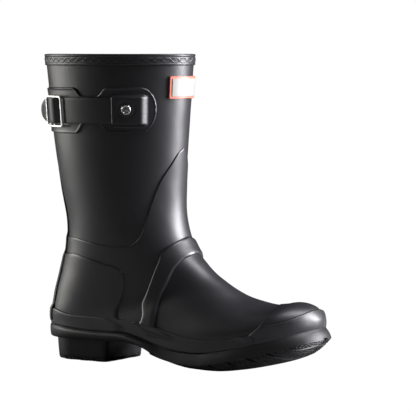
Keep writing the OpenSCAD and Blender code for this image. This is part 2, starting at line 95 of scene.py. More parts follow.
def last_at(s, a):
    """Point of the last for ring number s and angle a from the shin, in degrees. Millimetres."""
    s, a = np.broadcast_arrays(np.clip(s, 0, TOE), np.radians(a))
    i = np.minimum(np.floor(s).astype(int), TOE - 1)
    t = (s - i)[..., None]
    ring = between(RINGS[i], RINGS[i + 1], RINGS[i + 2], RINGS[i + 3], t)
    tx, tz, bx, bz, outer_w, inner_w, shift, widest, top_n, low_n = np.moveaxis(ring, -1, 0)
    c, k = np.cos(a), np.sin(a)
    n = np.where(c >= 0, top_n, low_n)
    r = (np.abs(c) ** n + np.abs(k) ** n) ** (-1 / n)
    up = widest + np.where(c >= 0, 1 - widest, 1 + widest) * r * c
    w = np.where(k >= 0, inner_w, outer_w)
    return np.stack([(tx + bx) / 2 + (tx - bx) / 2 * up, shift + w * r * k,
                     (tz + bz) / 2 + (tz - bz) / 2 * up], -1)


def disc(s, a):
    """The last laid out as a disc: the toe tip is its centre and the rim its edge."""
    s, a = np.broadcast_arrays(s, np.radians(a))
    return (TOE - s)[..., None] * np.stack([np.sin(a), np.cos(a)], -1)


def skin(d):
    """Point of the last for a point of the disc."""
    return last_at(TOE - np.hypot(d[..., 0], d[..., 1]), np.degrees(np.arctan2(d[..., 0], d[..., 1])))


def outward(d):
    """Direction straight out of the last at a point of the disc."""
    e = 0.04
    along = skin(d + [e, 0]) - skin(d - [e, 0])
    across = skin(d + [0, e]) - skin(d - [0, e])
    n = np.cross(along, across)
    return n / np.maximum(np.linalg.norm(n, axis=-1, keepdims=True), 1e-12)


def unevenness(p):
    """Slow waves that hand-laid rubber keeps, under half a millimetre."""
    x, y, z = p[..., 0], p[..., 1], p[..., 2]
    return (0.14 * np.sin(0.051 * x + 0.034 * z + 1) * np.sin(0.063 * y + 0.022 * z)
            + 0.10 * np.sin(0.09 * x - 0.05 * y + 0.07 * z + 2) * np.sin(0.045 * z + 0.4)
            + 0.05 * np.sin(0.19 * z + 0.11 * x) * np.sin(0.16 * y + 0.07 * x + 0.5))


def raised(d, h):
    """Point that stands h out of the last."""
    p = skin(d)
    return p + (h + unevenness(p))[..., None] * outward(d)


def curve(pairs, x):
    """Smooth line through pairs that never overshoots them."""
    u, v = np.array(pairs, float).T
    step = np.diff(v) / np.diff(u)
    same = step[:-1] * step[1:] > 0
    mean = np.where(same, 2 * step[:-1] * step[1:] / np.where(same, step[:-1] + step[1:], 1), 0)
    slope = np.concatenate([step[:1], mean, step[-1:]])
    x = np.clip(x, u[0], u[-1])
    i = np.clip(np.searchsorted(u, x, "right") - 1, 0, len(u) - 2)
    w = u[i + 1] - u[i]
    t = (x - u[i]) / w
    return (v[i] * (1 + 2 * t) * (1 - t) ** 2 + v[i + 1] * t**2 * (3 - 2 * t)
            + w * slope[i] * t * (1 - t) ** 2 - w * slope[i + 1] * t**2 * (1 - t))


def run_length(p, axis):
    """Distance in millimetres along one direction of a grid of points."""
    step = np.linalg.norm(np.diff(p, axis=axis), axis=-1)
    zero = np.zeros_like(np.take(step, [0], axis))
    return np.concatenate([zero, np.cumsum(step, axis)], axis)


def mesh_piece(name, points, faces, sharp=40, **marks):
    """A mesh object in the row frame from points in millimetres."""
    mesh = bpy.data.meshes.new(name)
    mesh.from_pydata((np.asarray(points) / 1000).tolist(), [], faces)
    for mark, values in marks.items():
        layer = mesh.attributes.new(mark, "FLOAT", "POINT")
        layer.data.foreach_set("value", np.asarray(values, np.float32).ravel())
    shape = bmesh.new()
    shape.from_mesh(mesh)
    bmesh.ops.remove_doubles(shape, verts=shape.verts, dist=2e-6)
    bmesh.ops.dissolve_degenerate(shape, edges=shape.edges, dist=1e-6)
    bmesh.ops.recalc_face_normals(shape, faces=shape.faces)
    shape.to_mesh(mesh)
    shape.free()
    mesh.shade_smooth()
    mesh.set_sharp_from_angle(angle=math.radians(sharp))
    piece = bpy.data.objects.new(name, mesh)
    bpy.context.scene.collection.objects.link(piece)
    return piece


def grid_faces(m, n, around=False, first=0, flip=False):
    """Quads over a grid of m rows and n columns, closed round the columns if asked."""
    i, j = np.meshgrid(np.arange(m - 1), np.arange(n if around else n - 1), indexing="ij")
    k = (j + 1) % n
    quads = np.stack([i * n + j, i * n + k, (i + 1) * n + k, (i + 1) * n + j], -1).reshape(-1, 4) + first
    return (quads[:, ::-1] if flip else quads).tolist()


def shell(name, outer, inner, around=False, tip=False, sharp=40, rub=None):
    """A closed ply from the grid of its outer face and the grid of its inner face."""
    m, n = outer.shape[:2]
    points = np.concatenate([outer.reshape(-1, 3), inner.reshape(-1, 3)])
    size = m * n
    faces = grid_faces(m, n, around) + grid_faces(m, n, around, size, True)
    wrap = n if around else n - 1
    low = (m - 1) * n
    for j in range(wrap):
        k = (j + 1) % n
        faces.append([k, j, size + j, size + k])
        if not tip:
            faces.append([low + j, low + k, size + low + k, size + low + j])
    if not around:
        for i in range(m - 1):
            a, b = i * n, (i + 1) * n
            faces.append([a, b, size + b, size + a])
            faces.append([b + n - 1, a + n - 1, size + a + n - 1, size + b + n - 1])
    rub = np.zeros((m, n)) if rub is None else rub
    return mesh_piece(name, points, faces, sharp, rub=np.concatenate([rub.ravel(), 0 * rub.ravel()]))


def sock_grid(top, step, cols):
    """Disc points from an edge line down to the toe tip, and each one's distance from that edge."""
    a = np.linspace(0, 360, cols, endpoint=False)
    start = curve(top, np.minimum(a, 360 - a))
    s = start[None] + (TOE - 0.02 - start[None]) * np.linspace(0, 1, 500)[:, None]
    far = run_length(last_at(s, a[None]), 0)
    share = np.linspace(0, 1, int(far[-1].max() / step))
    near = np.array(EDGE_ROWS)
    grid = np.empty((len(near) + len(share) - 1, cols))
    for j in range(cols):
        want = np.concatenate([near[:-1], near[-1] + share * (far[-1, j] - near[-1])])
        grid[:, j] = np.interp(want, far[:, j], s[:, j])
    d = disc(grid, a[None])
    return d, run_length(skin(d), 0)


class Wire:
    """An output of a shader tree. Sums, differences and products of wires add Math nodes."""

    def __init__(self, tree, socket=None):
        self.tree, self.socket = tree, socket

    def node(self, kind, settings=(), values=(), out=0):
        made = self.tree.nodes.new("ShaderNode" + kind)
        for name, value in dict(settings).items():
            if name == "stops":
                for k, (place, colour) in enumerate(value):
                    stop = made.color_ramp.elements[k] if k < 2 else made.color_ramp.elements.new(place)
                    stop.position, stop.color = place, colour
            else:
                setattr(made, name, value)
        for name, value in dict(values).items():
            if isinstance(value, Wire):
                self.tree.links.new(value.socket, made.inputs[name])
            else:
                made.inputs[name].default_value = value
        return Wire(self.tree, made.outputs[out])

    def maths(self, operation, *values):
        return self.node("Math", {"operation": operation}, dict(enumerate(values)))

    def __add__(self, other):
        return self.maths("ADD", self, other)

    def __sub__(self, other):
        return self.maths("SUBTRACT", self, other)

    def __rsub__(self, other):
        return self.maths("SUBTRACT", other, self)

    def __mul__(self, other):
        return self.maths("MULTIPLY", self, other)

    __radd__, __rmul__ = __add__, __mul__

    def blend(self, low, high):
        """Colour that goes from low to high with this wire."""
        return self.node("Mix", {"data_type": "RGBA"}, {"Factor": self, "A": low, "B": high}, 2)


def material(name, metallic=0.0, **plain):
    """A new material with its shader, and a wire to build on."""
    made = bpy.data.materials.new(name)
    made.use_nodes = True
    shader = made.node_tree.nodes["Principled BSDF"]
    shader.inputs["Metallic"].default_value = metallic
    for socket, value in plain.items():
        shader.inputs[socket.replace("_", " ")].default_value = value
    return made, shader, Wire(made.node_tree)


def feed(shader, socket, wire):
    """Links a wire to one of the shader's sockets."""
    wire.tree.links.new(wire.socket, shader.inputs[socket])


def noise(wire, scale, detail=3.0, rough=0.5):
    """Soft noise through the piece. Scale is in cells a metre."""
    where = wire.node("TexCoord", out="Object")
    return wire.node("TexNoise", {}, {"Vector": where, "Scale": scale, "Detail": detail, "Roughness": rough})


def bump(strength, distance, height):
    """Small relief in the surface. Distance in metres."""
    return height.node("Bump", {}, {"Strength": strength, "Distance": distance, "Height": height})


def knit(name, light, dark, pitch):
    """Fine jersey knit: rows of loops, a little fuzzy."""
    made, shader, wire = material(name, Sheen_Weight=0.25, Sheen_Roughness=0.5)
    where = wire.node("TexCoord", out="Object")
    rows = wire.node("TexWave", {"wave_type": "BANDS", "bands_direction": "Z"},
                     {"Vector": where, "Scale": 0.314 / pitch, "Distortion": 1.4, "Detail": 1.0,
                      "Detail Scale": 3.0})
    loops = wire.node("TexWave", {"wave_type": "BANDS", "bands_direction": "DIAGONAL"},
                      {"Vector": where, "Scale": 0.36 / pitch, "Distortion": 1.0, "Detail": 1.0})
    yarn = rows * loops
    fuzz = noise(wire, 900)
    feed(shader, "Base Color", (yarn * 0.7 + fuzz * 0.3).blend(dark, light))
    feed(shader, "Roughness", fuzz * 0.1 + 0.82)
    feed(shader, "Normal", bump(0.7, 0.0004, yarn + fuzz * 0.3))
    return made


def wear(piece, made, body="boot"):
    """Gives a piece its material and slot, and puts it on a body in place of its solid."""
    piece.data.materials.clear()
    piece.data.materials.append(made)
    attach(piece, body)
    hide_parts(piece.name.replace("_look", ""))


RIM_RING = 0.024
lining_knit = knit("lining_knit", (0.34, 0.33, 0.33, 1), (0.16, 0.155, 0.16, 1), 0.0011)
grid = sock_grid([[0, RIM_RING], [180, RIM_RING]], 3.4, 160)[0]
lining = shell("lining_look", raised(grid, LINING_OUT), raised(grid, LINING_IN), True, True)
wear(lining, lining_knit)

# ---- insole board, shank and heel core -----------------------------------------------------------
# Pressed fibre board under the foot, a steel spring in the waist and a light core that fills the
# heel. All three are closed in by rubber, so the frame's own shapes are shown with their finish.
def hidden_finish(name, light, dark, rough, metallic=0.0):
    """Plain flecked finish."""
    made, shader, wire = material(name, metallic)
    fleck = noise(wire, 160, 6.0)
    feed(shader, "Base Color", fleck.blend(dark, light))
    feed(shader, "Roughness", fleck * 0.2 + rough)
    feed(shader, "Normal", bump(0.3, 0.0003, fleck))
    return made


def finish_node(name, made):
    """Shows one of the frame's own solids with a material."""
    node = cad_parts[name]
    node.data.materials.clear()
    node.data.materials.append(made)


finish_node("insole_board", hidden_finish("fibre_board", (0.5, 0.36, 0.2, 1), (0.28, 0.19, 0.1, 1), 0.7))
finish_node("shank", hidden_finish("shank_steel", (0.5, 0.5, 0.52, 1), (0.36, 0.36, 0.38, 1), 0.35, 1.0))
finish_node("heel_core", hidden_finish("heel_filler", (0.3, 0.27, 0.24, 1), (0.18, 0.16, 0.14, 1), 0.8))

# ---- base sheet ----------------------------------------------------------------------------------
# The first rubber ply, wrapped round the lining from rim to toe. Calendered natural rubber, matt
# black with a trace of blue, cured with all the other plies in one piece.
def rubber(name, tint, rough, grain=0.00004, bloom=0.35, ior=1.5):
    """Matt rubber: fine grain, soft patches of bloom, paler where marked, partly rubbing wear and partly
    painted highlight on edges.
    """
    made, shader, wire = material(name, IOR=ior)
    patch, streak, speck = noise(wire, 14, 4.0), noise(wire, 60, 5.0, 0.7), noise(wire, 2600, 2.0)
    rub = wire.node("Attribute", {"attribute_name": "rub"}, out="Fac")
    pale = tuple(1.8 * c + 0.004 for c in tint[:3]) + (1,)
    # The mark read here paints the colour paler: partly rubbing wear, partly a painted highlight where edges
    # and ridges catch the light.
    feed(shader, "Base Color", (patch * bloom + streak * 0.25 + rub * 0.5).blend(tint, pale))
    feed(shader, "Roughness", patch * 0.10 + speck * 0.06 + streak * 0.06 + (rough - 0.11) - rub * 0.08)
    dents = bump(0.35, 0.0006, noise(wire, 38, 2.0))
    relief = {"Strength": 0.5, "Distance": grain, "Height": speck, "Normal": dents}
    feed(shader, "Normal", wire.node("Bump", {}, relief))
    return made


upper_rubber = rubber("upper_rubber", (0.0064, 0.0058, 0.0072, 1), 0.42)
SHEET = 1.6
grid = sock_grid([[0, RIM_RING], [180, RIM_RING]], 2.6, 180)[0]
base_sheet = shell("base_sheet_look", raised(grid, 0.0), raised(grid, -SHEET), True, True)
wear(base_sheet, upper_rubber)

# ---- foot overlay --------------------------------------------------------------------------------
# A second ply over the whole foot, cut high in front and dipping at the ankle. Its skived edge
# shows as a soft ridge round the leg.
VAMP_EDGE = [[0, 1.1], [9, 1.2], [17, 1.4], [26, 1.7], [34, 2.1], [44, 2.9], [51, 3.5], [61, 4.05],
             [69, 4.23], [84, 4.17], [107, 3.92], [130, 3.7], [180, 3.6]]
VAMP_OUT = 1.2
BED = 0.02


def rise(d, radius):
    """Quarter round from a cut edge: 0 at the edge, 1 from radius inwards."""
    return np.sqrt(1 - (1 - np.clip(d / radius, 0, 1)) ** 2)


def ply(name, grid, free, under, over, edge=1.2, around=False, tip=False, shape=None, swell=None, rubbed=0.8):
    """A ply that lies on what is under it, with rounded free edges. Free is the distance from them."""
    lift = under + (over - under) * rise(free, edge)
    # Painted highlight, partly rubbing wear: a band along the free edges is painted paler.
    rub = rubbed * np.exp(-((free - 0.5 * edge) / (0.6 * edge)) ** 2)
    outer = raised(grid, lift)
    outer = outer if shape is None else shape(outer)
    outer = outer if swell is None else outer + swell[..., None] * outward(grid)
    piece = shell(name, outer, raised(grid, under - 0.25 + 0 * lift), around, tip, rub=rub)
    wear(piece, upper_rubber)
    return piece


grid, depth = sock_grid(VAMP_EDGE, 2.4, 200)
ply("vamp_overlay_look", grid, depth, BED, VAMP_OUT, 1.6, True, True)

# ---- heel counter --------------------------------------------------------------------------------
# A stiffer rubber ply, laid round the back of the heel and rolled down onto the sheets under it. Its
# front edge runs down the side of the ankle.
COUNTER_OUT = 2.6


def places(length, step, near=EDGE_ROWS):
    """Shares of a length, close together by both of its ends."""
    near = np.array([n for n in near if n < 0.45 * length])
    count = max(3, int((length - 2 * near[-1]) / step))
    inner = np.linspace(near[-1], length - near[-1], count)
    return np.concatenate([near[:-1], inner, length - near[:-1][::-1]]) / length


def free_edges(d, top=True, low=True, ends=True):
    """Distance of each grid point from the nearest free edge."""
    p = skin(d)
    down, over = run_length(p, 0), run_length(p, 1)
    free = np.full(p.shape[:2], 1e3)
    if top:
        free = np.minimum(free, down)
    if low:
        free = np.minimum(free, down[-1:] - down)
    if ends:
        free = np.minimum(free, np.minimum(over, over[:, -1:] - over))
    return free


down, side = places(62, 2.2)[:, None], 2 * places(170, 2.2)[None] - 1
top = curve([[0, 4.3], [0.5, 4.33], [0.75, 4.6], [0.9, 4.9], [1, 5.1]], np.abs(side))
low = curve([[0, 6.9], [0.4, 7.1], [0.7, 7.6], [1, 8.6]], np.abs(side))
front = curve([[0, 98], [0.15, 105], [0.33, 104], [0.62, 99], [0.85, 94], [1, 86]], down)
grid = disc(top + (low - top) * down, 180 + side * front)
ply("heel_counter_look", grid, free_edges(grid), VAMP_OUT + BED, COUNTER_OUT, 2.6)

# ---- instep band ---------------------------------------------------------------------------------
# A reinforcing band over the instep that runs down both sides into the sole line, where the foot
# bends most.
BAND_OUT = 3.6
# Ring number and angle from the shin, from the middle of the instep down one side
BAND_REAR = [[4.05, 0], [4.2, 17], [4.6, 38], [5.5, 50], [6.6, 60], [8.3, 73], [9, 85], [9.6, 105], [10, 126]]
BAND_FRONT = [[5.15, 0], [5.3, 20], [5.9, 37], [7, 50], [8, 59], [8.7, 69], [9.7, 89], [10.2, 105],
              [10.5, 126]]


def mirrored(line, t):
    """Disc points on an edge line that is given from the middle of the foot outwards."""
    k = np.arange(len(line))
    s = curve(np.stack([k, np.array(line)[:, 0]], -1), np.abs(t))
    a = curve(np.stack([k, np.array(line)[:, 1]], -1), np.abs(t))
    return disc(s, np.where(t < 0, -a, a))


def band_grid(upper, lower, width, step, length, fine=None):
    """Grid between two edge lines of a band that lies the same way on both sides of the foot."""
    t = (len(upper) - 1) * (2 * places(length, step)[None] - 1)
    v = places(width, fine or step)[:, None, None]
    return mirrored(upper, t) * (1 - v) + mirrored(lower, t) * v


grid = band_grid(BAND_REAR, BAND_FRONT, 12, 1.6, 300)
ply("instep_band_look", grid, free_edges(grid, ends=False), VAMP_OUT + BED, BAND_OUT, 3.4)

# ---- toe cap -------------------------------------------------------------------------------------
# A third rubber ply over the toes, where a boot wears most. It is cut straight across the top, swept
# back along the sides and rolled down like the others.
CAP_EDGE = [[0, 12.6], [8, 12.9], [45, 13.5], [74, 13.45], [90, 13.2], [180, 13.1]]
CAP_OUT = 2.5
grid, depth = sock_grid(CAP_EDGE, 2.0, 200)
ply("toe_cap_look", grid, depth, VAMP_OUT + BED, CAP_OUT, 1.4, True, True)

# ---- rand and toe guard --------------------------------------------------------------------------
# The rand is a strip rolled round the wall above the sole, over the counter and the ends of the
# instep band. The toe guard is a wider strip that carries it on round the toe.
RAND_TOP = [[6.45, 180], [6.5, 142], [7.4, 110], [8.3, 95], [9.2, 90], [10.4, 89], [11.6, 89], [12.5, 88],
            [13.2, 88]]
RAND_LOW = [[7.3, 180], [7.6, 158], [8.1, 144], [8.8, 138], [9.4, 138], [10.4, 138], [11.6, 138], [12.5, 138],
            [13.2, 137]]
RAND = 1.6
# The sole's plan: x, then y of the outer and of the inner side
HEEL_END, TOE_END = [-37, 0.0], [242, 8.0]
PLAN = [[-36, -7, 7], [-34, -14, 14], [-29, -21, 21], [-20, -28, 28], [-8, -33, 32], [16, -37, 35],
        [50, -39, 36], [88, -42, 39], [112, -43, 44], [136, -44, 48], [160, -44, 51], [184, -41, 51],
        [204, -35, 48], [218, -28, 43], [230, -19, 35], [237, -10, 26], [241, -1, 17]]
SIDE = 190


def resampled(line, count):
    """The same line with evenly spaced points."""
    far = run_length(line[None], 1)[0]
    want = np.linspace(0, far[-1], count)
    return np.stack([np.interp(want, far, line[:, k]) for k in (0, 1)], -1)


def side_line(column):
    """One side of the plan from heel to toe, evenly spaced and smoothed."""
    xy = np.array([HEEL_END] + [[row[0], row[column]] for row in PLAN] + [TOE_END])
    before = [xy[1, 0], 2 * xy[0, 1] - xy[1, 1]]
    after = [xy[-2, 0], 2 * xy[-1, 1] - xy[-2, 1]]
    ghost = np.concatenate([[before], xy, [after]])
    i, t = np.divmod(np.linspace(0, len(xy) - 1 - 1e-9, 4000), 1)
    i = i.astype(int)
    fine = between(ghost[i], ghost[i + 1], ghost[i + 2], ghost[i + 3], t[:, None])
    return resampled(fine, SIDE)


def closed_plan(lateral, medial):
    """The whole outline and its outward normals, from the heel's middle round the outer side."""
    line = np.concatenate([lateral, medial[-2:0:-1]])
    for _ in range(12):
        line = 0.25 * np.roll(line, 1, 0) + 0.5 * line + 0.25 * np.roll(line, -1, 0)
    ahead = np.roll(line, -1, 0) - np.roll(line, 1, 0)
    n = np.stack([ahead[:, 1], -ahead[:, 0]], -1)
    return line, n / np.linalg.norm(n, axis=1, keepdims=True)


plan_line, plan_out = closed_plan(side_line(1), side_line(2))
# Height of the sole's upper edge along x
LIP_TOP = [[-60, 34.5], [-45, 33.4], [-34, 32.6], [2, 31.3], [31, 30.8], [57, 31.2], [75, 28.4], [88, 24.8],
           [103, 21.6], [125, 17.8], [142, 17.4], [163, 20], [188, 25.6], [228, 36.4], [243, 41.2], [262, 47]]
CREASE, CREASE_HALF = 0.9, 0.7


def upright(p):
    """Keeps a strip's wall from curving in under the foot, with a fine crease along the sole's edge.
    The first row is the strip's lower edge."""
    nearest = np.argmin(((p[..., None, :2] - plan_line) ** 2).sum(-1), -1)
    out = ((p[..., :2] - plan_line[nearest]) * plan_out[nearest]).sum(-1)
    reached = np.maximum.accumulate(out[::-1], 0)[::-1]
    above = p[..., 2] - curve(LIP_TOP, p[..., 0]) - CREASE
    crease = CREASE * np.exp(-(above / CREASE_HALF) ** 2)
    grown = p.copy()
    grown[..., :2] += (reached - out - crease)[..., None] * plan_out[nearest]
    return grown


RAND_LENGTH, RAND_WIDTH, WALL_STEP = 620, 16, 0.5
grid = band_grid(RAND_LOW, RAND_TOP, RAND_WIDTH, 1.6, RAND_LENGTH, WALL_STEP)
along = np.abs((len(RAND_TOP) - 1) * (2 * places(RAND_LENGTH, 1.6)[None] - 1))
up = places(RAND_WIDTH, WALL_STEP)[:, None]
rand_bed = curve([[0, COUNTER_OUT], [2.75, COUNTER_OUT], [3.05, VAMP_OUT], [7, VAMP_OUT], [7.6, CAP_OUT],
                  [8, CAP_OUT]], along) + BED
over_band = curve([[0, 0], [3.65, 0], [3.9, 1.9], [4.5, 1.9], [4.8, 0], [8, 0]], along)
over_band = over_band * curve([[0, 0], [0.45, 0], [0.8, 1], [1, 1]], up)
ply("rand_look", grid, free_edges(grid, ends=False), rand_bed, rand_bed + RAND, 1.2,
    shape=upright, swell=over_band, rubbed=0.5)

GUARD_TOP = [[15.95, 0], [15.75, 35], [15.1, 64], [14.2, 75], [13.55, 75], [13.3, 83], [13.2, 88]]
GUARD_LOW = [[16.3, 180], [16.1, 158], [15.6, 145], [14.7, 140], [13.9, 138], [13.5, 137], [13.2, 137]]
GUARD, GUARD_SWELL = 1.9, 1.9
grid = band_grid(GUARD_LOW, GUARD_TOP, 22, 1.5, 190, WALL_STEP)
x, z = skin(grid)[..., 0], skin(grid)[..., 2]
swell = GUARD_SWELL * np.exp(-((z - 49) / 6.5) ** 2) * np.clip((x - 190) / 40, 0, 1) ** 2
ply("toe_guard_look", grid, free_edges(grid), CAP_OUT + BED, CAP_OUT + GUARD, 1.0,
    shape=upright, swell=swell, rubbed=0)

# ---- back strip ----------------------------------------------------------------------------------
# A strip that seals the back seam from the rim down to the sole, over the counter and the rand. It
# widens below the calf.
STRIP_HALF, STRIP_WIDE, STRIP = 6, 23, 1.4
STRIP_FROM, STRIP_TO = 0.14, 6.95
s = STRIP_FROM + (STRIP_TO - STRIP_FROM) * places(300, 2.0)[:, None]
half = np.interp(s, np.arange(len(RINGS) - 2), RINGS[1:-1, 4])
wide = curve([[0, STRIP_HALF], [0.8, STRIP_HALF], [1.6, 14], [2.6, STRIP_WIDE], [7, STRIP_WIDE]], s)
lean = np.degrees(np.arcsin((2 * places(34, 1.6)[None] - 1) * wide / half))
grid = disc(s, 180 + lean)
strip_bed = curve([[0, 0], [3.45, 0], [3.75, VAMP_OUT], [4.15, VAMP_OUT], [4.5, COUNTER_OUT],
                   [6.3, COUNTER_OUT], [6.5, COUNTER_OUT + RAND], [7.2, COUNTER_OUT + RAND]], s) + BED
ply("back_strip_look", grid, free_edges(grid, top=False), strip_bed, strip_bed + STRIP, 0.8, rubbed=0)

# ---- rim binding ---------------------------------------------------------------------------------
# A moulded rubber tape folded over the rim. A chain of long lozenges is pressed into its outer face
# between a fine upper line and a round lower bead.
RIM_Z, RIM_LOW, RIM_COLS = 300, 289, 760
ROLL = 1.1
LEG_Z, LEG_S = [216, 234, 255.3, 278.1, 300], [1, 0.75, 0.5, 0.25, 0]


def leg_disc(a, z):
    return disc(np.interp(z, LEG_Z, LEG_S), a)


def leg(a, z, h):
    """Point on the leg at an angle from the shin and a height, standing h out of the base sheet."""
    a, z, h = np.broadcast_arrays(a, z, h)
    return raised(leg_disc(a, z), h)


a = np.linspace(0, 360, RIM_COLS, endpoint=False)
round_rim = run_length(leg(a, 294, 0)[None], 1)[0]
LOZENGES = 24
phase = round_rim / round_rim[-1] * LOZENGES * 2 % 2
wave = np.clip(1.9 * (2 * np.abs(phase - 1) - 1), -1, 1)
face = np.concatenate([RIM_LOW + np.array([0, 0.1, 0.35]), np.arange(RIM_LOW + 0.7, 298.9, 0.34)])


def relief(z):
    """Pressed pattern on the tape's outer face at one height."""
    chain = sum(np.exp(-((z - 293.9 - k * 2.0 * wave) / 0.34) ** 2) for k in (-1, 1))
    bead = 0.55 * np.exp(-((z - 290.2) / 0.75) ** 2)
    line = -0.35 * np.exp(-((z - 297.3) / 0.3) ** 2)
    return np.minimum(chain, 1.1) * 0.42 + bead + line


binding = [leg(a, z, 1.1 - 0.9 * (1 - rise(z - RIM_LOW + 0.02, 0.7)) + relief(z)) for z in face]
for turn in np.radians(np.arange(15, 91, 15)):
    binding.append(leg(a, RIM_Z - ROLL + ROLL * np.sin(turn), 0.1 + np.cos(turn)))
for h in (0, -1.2, -2.6):
    binding.append(leg(a, RIM_Z, h))
for turn in np.radians(np.arange(75, -1, -15)):
    binding.append(leg(a, RIM_Z - ROLL + ROLL * np.sin(turn), LINING_IN - np.cos(turn)))
for h, z in ((-3.8, 297.6), (-3.8, 296.4), (-3.5, 296), (-2.85, 296), (-2.85, 298.6), (-1.7, 299),
             (0.02, 298.6), (0.02, RIM_LOW)):
    binding.append(leg(a, z, h))
binding = np.array(binding)
last = (len(binding) - 1) * RIM_COLS
faces = grid_faces(len(binding), RIM_COLS, True)
for j in range(RIM_COLS):
    k = (j + 1) % RIM_COLS
    faces.append([last + j, last + k, k, j])
rub = np.zeros(binding.shape[:2])
# Painted highlight, partly rubbing wear: the raised chain and bead are painted paler.
rub[:len(face)] = 0.5 * np.clip([relief(z) for z in face], 0, 1)
rim_binding = mesh_piece("rim_binding_look", binding.reshape(-1, 3), faces, 50, rub=rub)
wear(rim_binding, upper_rubber)

# ---- label ---------------------------------------------------------------------------------------
# A moulded coral frame cemented to the shin with a blank white plate set in it. Both are thin rubber
# that bends round the leg.
LABEL_HALF, LABEL_TOP, LABEL_H, FRAME_W = 24.6, 279, 21.4, 2.2
LABEL_ROWS = (0, 0.08, 0.2, 0.4, 0.7, 1.1)


def pad_on_leg(name, half, top, low, under, over, edge, made, corner=1.2):
    """A flat piece with rounded corners that follows the shin. Half is an angle in degrees."""
    across = 2 * places(46, 0.9, LABEL_ROWS)[None] - 1
    up = 2 * places(top - low, 0.9, LABEL_ROWS)[:, None] - 1
    tall = (top - low) / 2
    inset = corner * (1 - rise(tall * (1 - np.abs(up)), corner))
    grid = leg_disc(half * across * (1 - inset / half), (top + low) / 2 - tall * up + 0 * across)
    free = free_edges(grid)
    lift = under + (over - under) * rise(free, edge)
    # The mark along the free edges carries the painted shade of the frame's sides.
    piece = shell(name, raised(grid, lift), raised(grid, under - 0.2 + 0 * lift), sharp=50,
                  rub=np.exp(-free / 0.25))
    wear(piece, made)
    return piece


label_coral, shader, wire = material("label_coral", Roughness=0.42)
rub = wire.node("Attribute", {"attribute_name": "rub"}, out="Fac")
tone = noise(wire, 120)
coral = tone.blend((0.44, 0.12, 0.075, 1), (0.52, 0.16, 0.11, 1))
# Painted shade: the frame's sides and outer edge are painted dark red-brown.
feed(shader, "Base Color", (rub * 1.2).blend(coral, (0.22, 0.03, 0.02, 1)))
feed(shader, "Roughness", tone * 0.12 + 0.36)
feed(shader, "Normal", bump(0.3, 0.0001, noise(wire, 900)))
pad_on_leg("label_frame_look", LABEL_HALF, LABEL_TOP, LABEL_TOP - LABEL_H, 0.02, 2.2, 0.35,
           label_coral)
label_white, shader, wire = material("label_white", Roughness=0.4)
tone = noise(wire, 90)
feed(shader, "Base Color", tone.blend((0.22, 0.22, 0.205, 1), (0.27, 0.27, 0.255, 1)))
feed(shader, "Roughness", tone * 0.14 + 0.34)
feed(shader, "Normal", bump(0.25, 0.0001, noise(wire, 1100)))
pad_on_leg("label_plate_look", LABEL_HALF - FRAME_W * 1.2, LABEL_TOP - FRAME_W,
           LABEL_TOP - LABEL_H + FRAME_W, 2.15, 2.7, 0.3, label_white, 0.6)

# ---- strap base ----------------------------------------------------------------------------------
# A moulded patch cured onto the outer side of the leg. Two lobes and a narrower neck between them,
# with a fine bead round its edge.
PATCH_TOP = [[-165, 256], [-162, 263], [-156, 268], [-106, 268.6], [-103.5, 267.6], [-99, 262],
             [-96.5, 260.5], [-84.5, 260.5], [-82.5, 262], [-78.5, 267.4], [-76, 268.6], [-50, 268.7],
             [-46, 267.9], [-43, 266.1], [-40, 262.8], [-38, 259.3], [-36.5, 254.8], [-35.7, 250.8],
             [-35.5, 247.6]]
PATCH_LOW = [[-165, 238], [-162, 231], [-156, 226], [-106, 225], [-103.5, 226], [-99, 232],
             [-96.5, 233.5], [-84.5, 234], [-82.5, 233], [-78.5, 227.5], [-76, 226], [-50, 225.7],
             [-46, 226.5], [-43, 228.3], [-40, 231.6], [-38, 235.1], [-36.5, 239.6], [-35.7, 243.6],
             [-35.5, 246.8]]
PATCH_OUT, MM_A_DEGREE = 1.4, 1.13
PATCH_REAR, PATCH_FRONT = PATCH_TOP[0][0], PATCH_TOP[-1][0]
a = PATCH_REAR + (PATCH_FRONT - PATCH_REAR) * places(150, 0.9, (0, 0.15, 0.4, 0.8, 1.3, 2, 3))[None]
down = places(42, 1.2, (0, 0.12, 0.3, 0.55, 0.85, 1.2, 1.7, 2.4))[:, None]
high, low = curve(PATCH_TOP, a), curve(PATCH_LOW, a)
z = high + (low - high) * down
grid = leg_disc(a + 0 * z, z)
outline = np.concatenate([np.stack([a[0], high[0]], -1), np.stack([a[0], low[0]], -1)[::-1]])
outline = outline * [MM_A_DEGREE, 1]
here = np.stack([(a + 0 * z) * MM_A_DEGREE, z], -1)
gap = np.full(z.shape, 1e3)
for p, q in zip(outline, np.roll(outline, -1, 0)):
    t = np.clip(((here - p) @ (q - p)) / max((q - p) @ (q - p), 1e-9), 0, 1)
    gap = np.minimum(gap, np.linalg.norm(here - p - t[..., None] * (q - p), axis=-1))
lift = BED + (PATCH_OUT - BED) * rise(gap, 1.1) + 0.5 * np.exp(-((gap - 1.25) / 0.6) ** 2)
# Painted highlight: the bead round the patch's edge is painted paler, as if it caught the light.
strap_base = shell("strap_base_look", raised(grid, lift), raised(grid, -0.2 + 0 * lift),
                   rub=np.exp(-((gap - 1.0) / 0.9) ** 2))
wear(strap_base, upper_rubber)

# ---- strap ---------------------------------------------------------------------------------------
# A flat rubber strap, 24 mm wide. It leaves the keeper, goes under the buckle's near bar, over its
# middle bar and under its far bar, and its rounded end stands clear of the leg.
STRAP_Z, STRAP_HALF, STRAP, BUCKLE_A = 246.6, 12.2, 2, -126.5
STRAP_END, STRAP_RUN, END_ROUND = -22.5, 99, 8.05
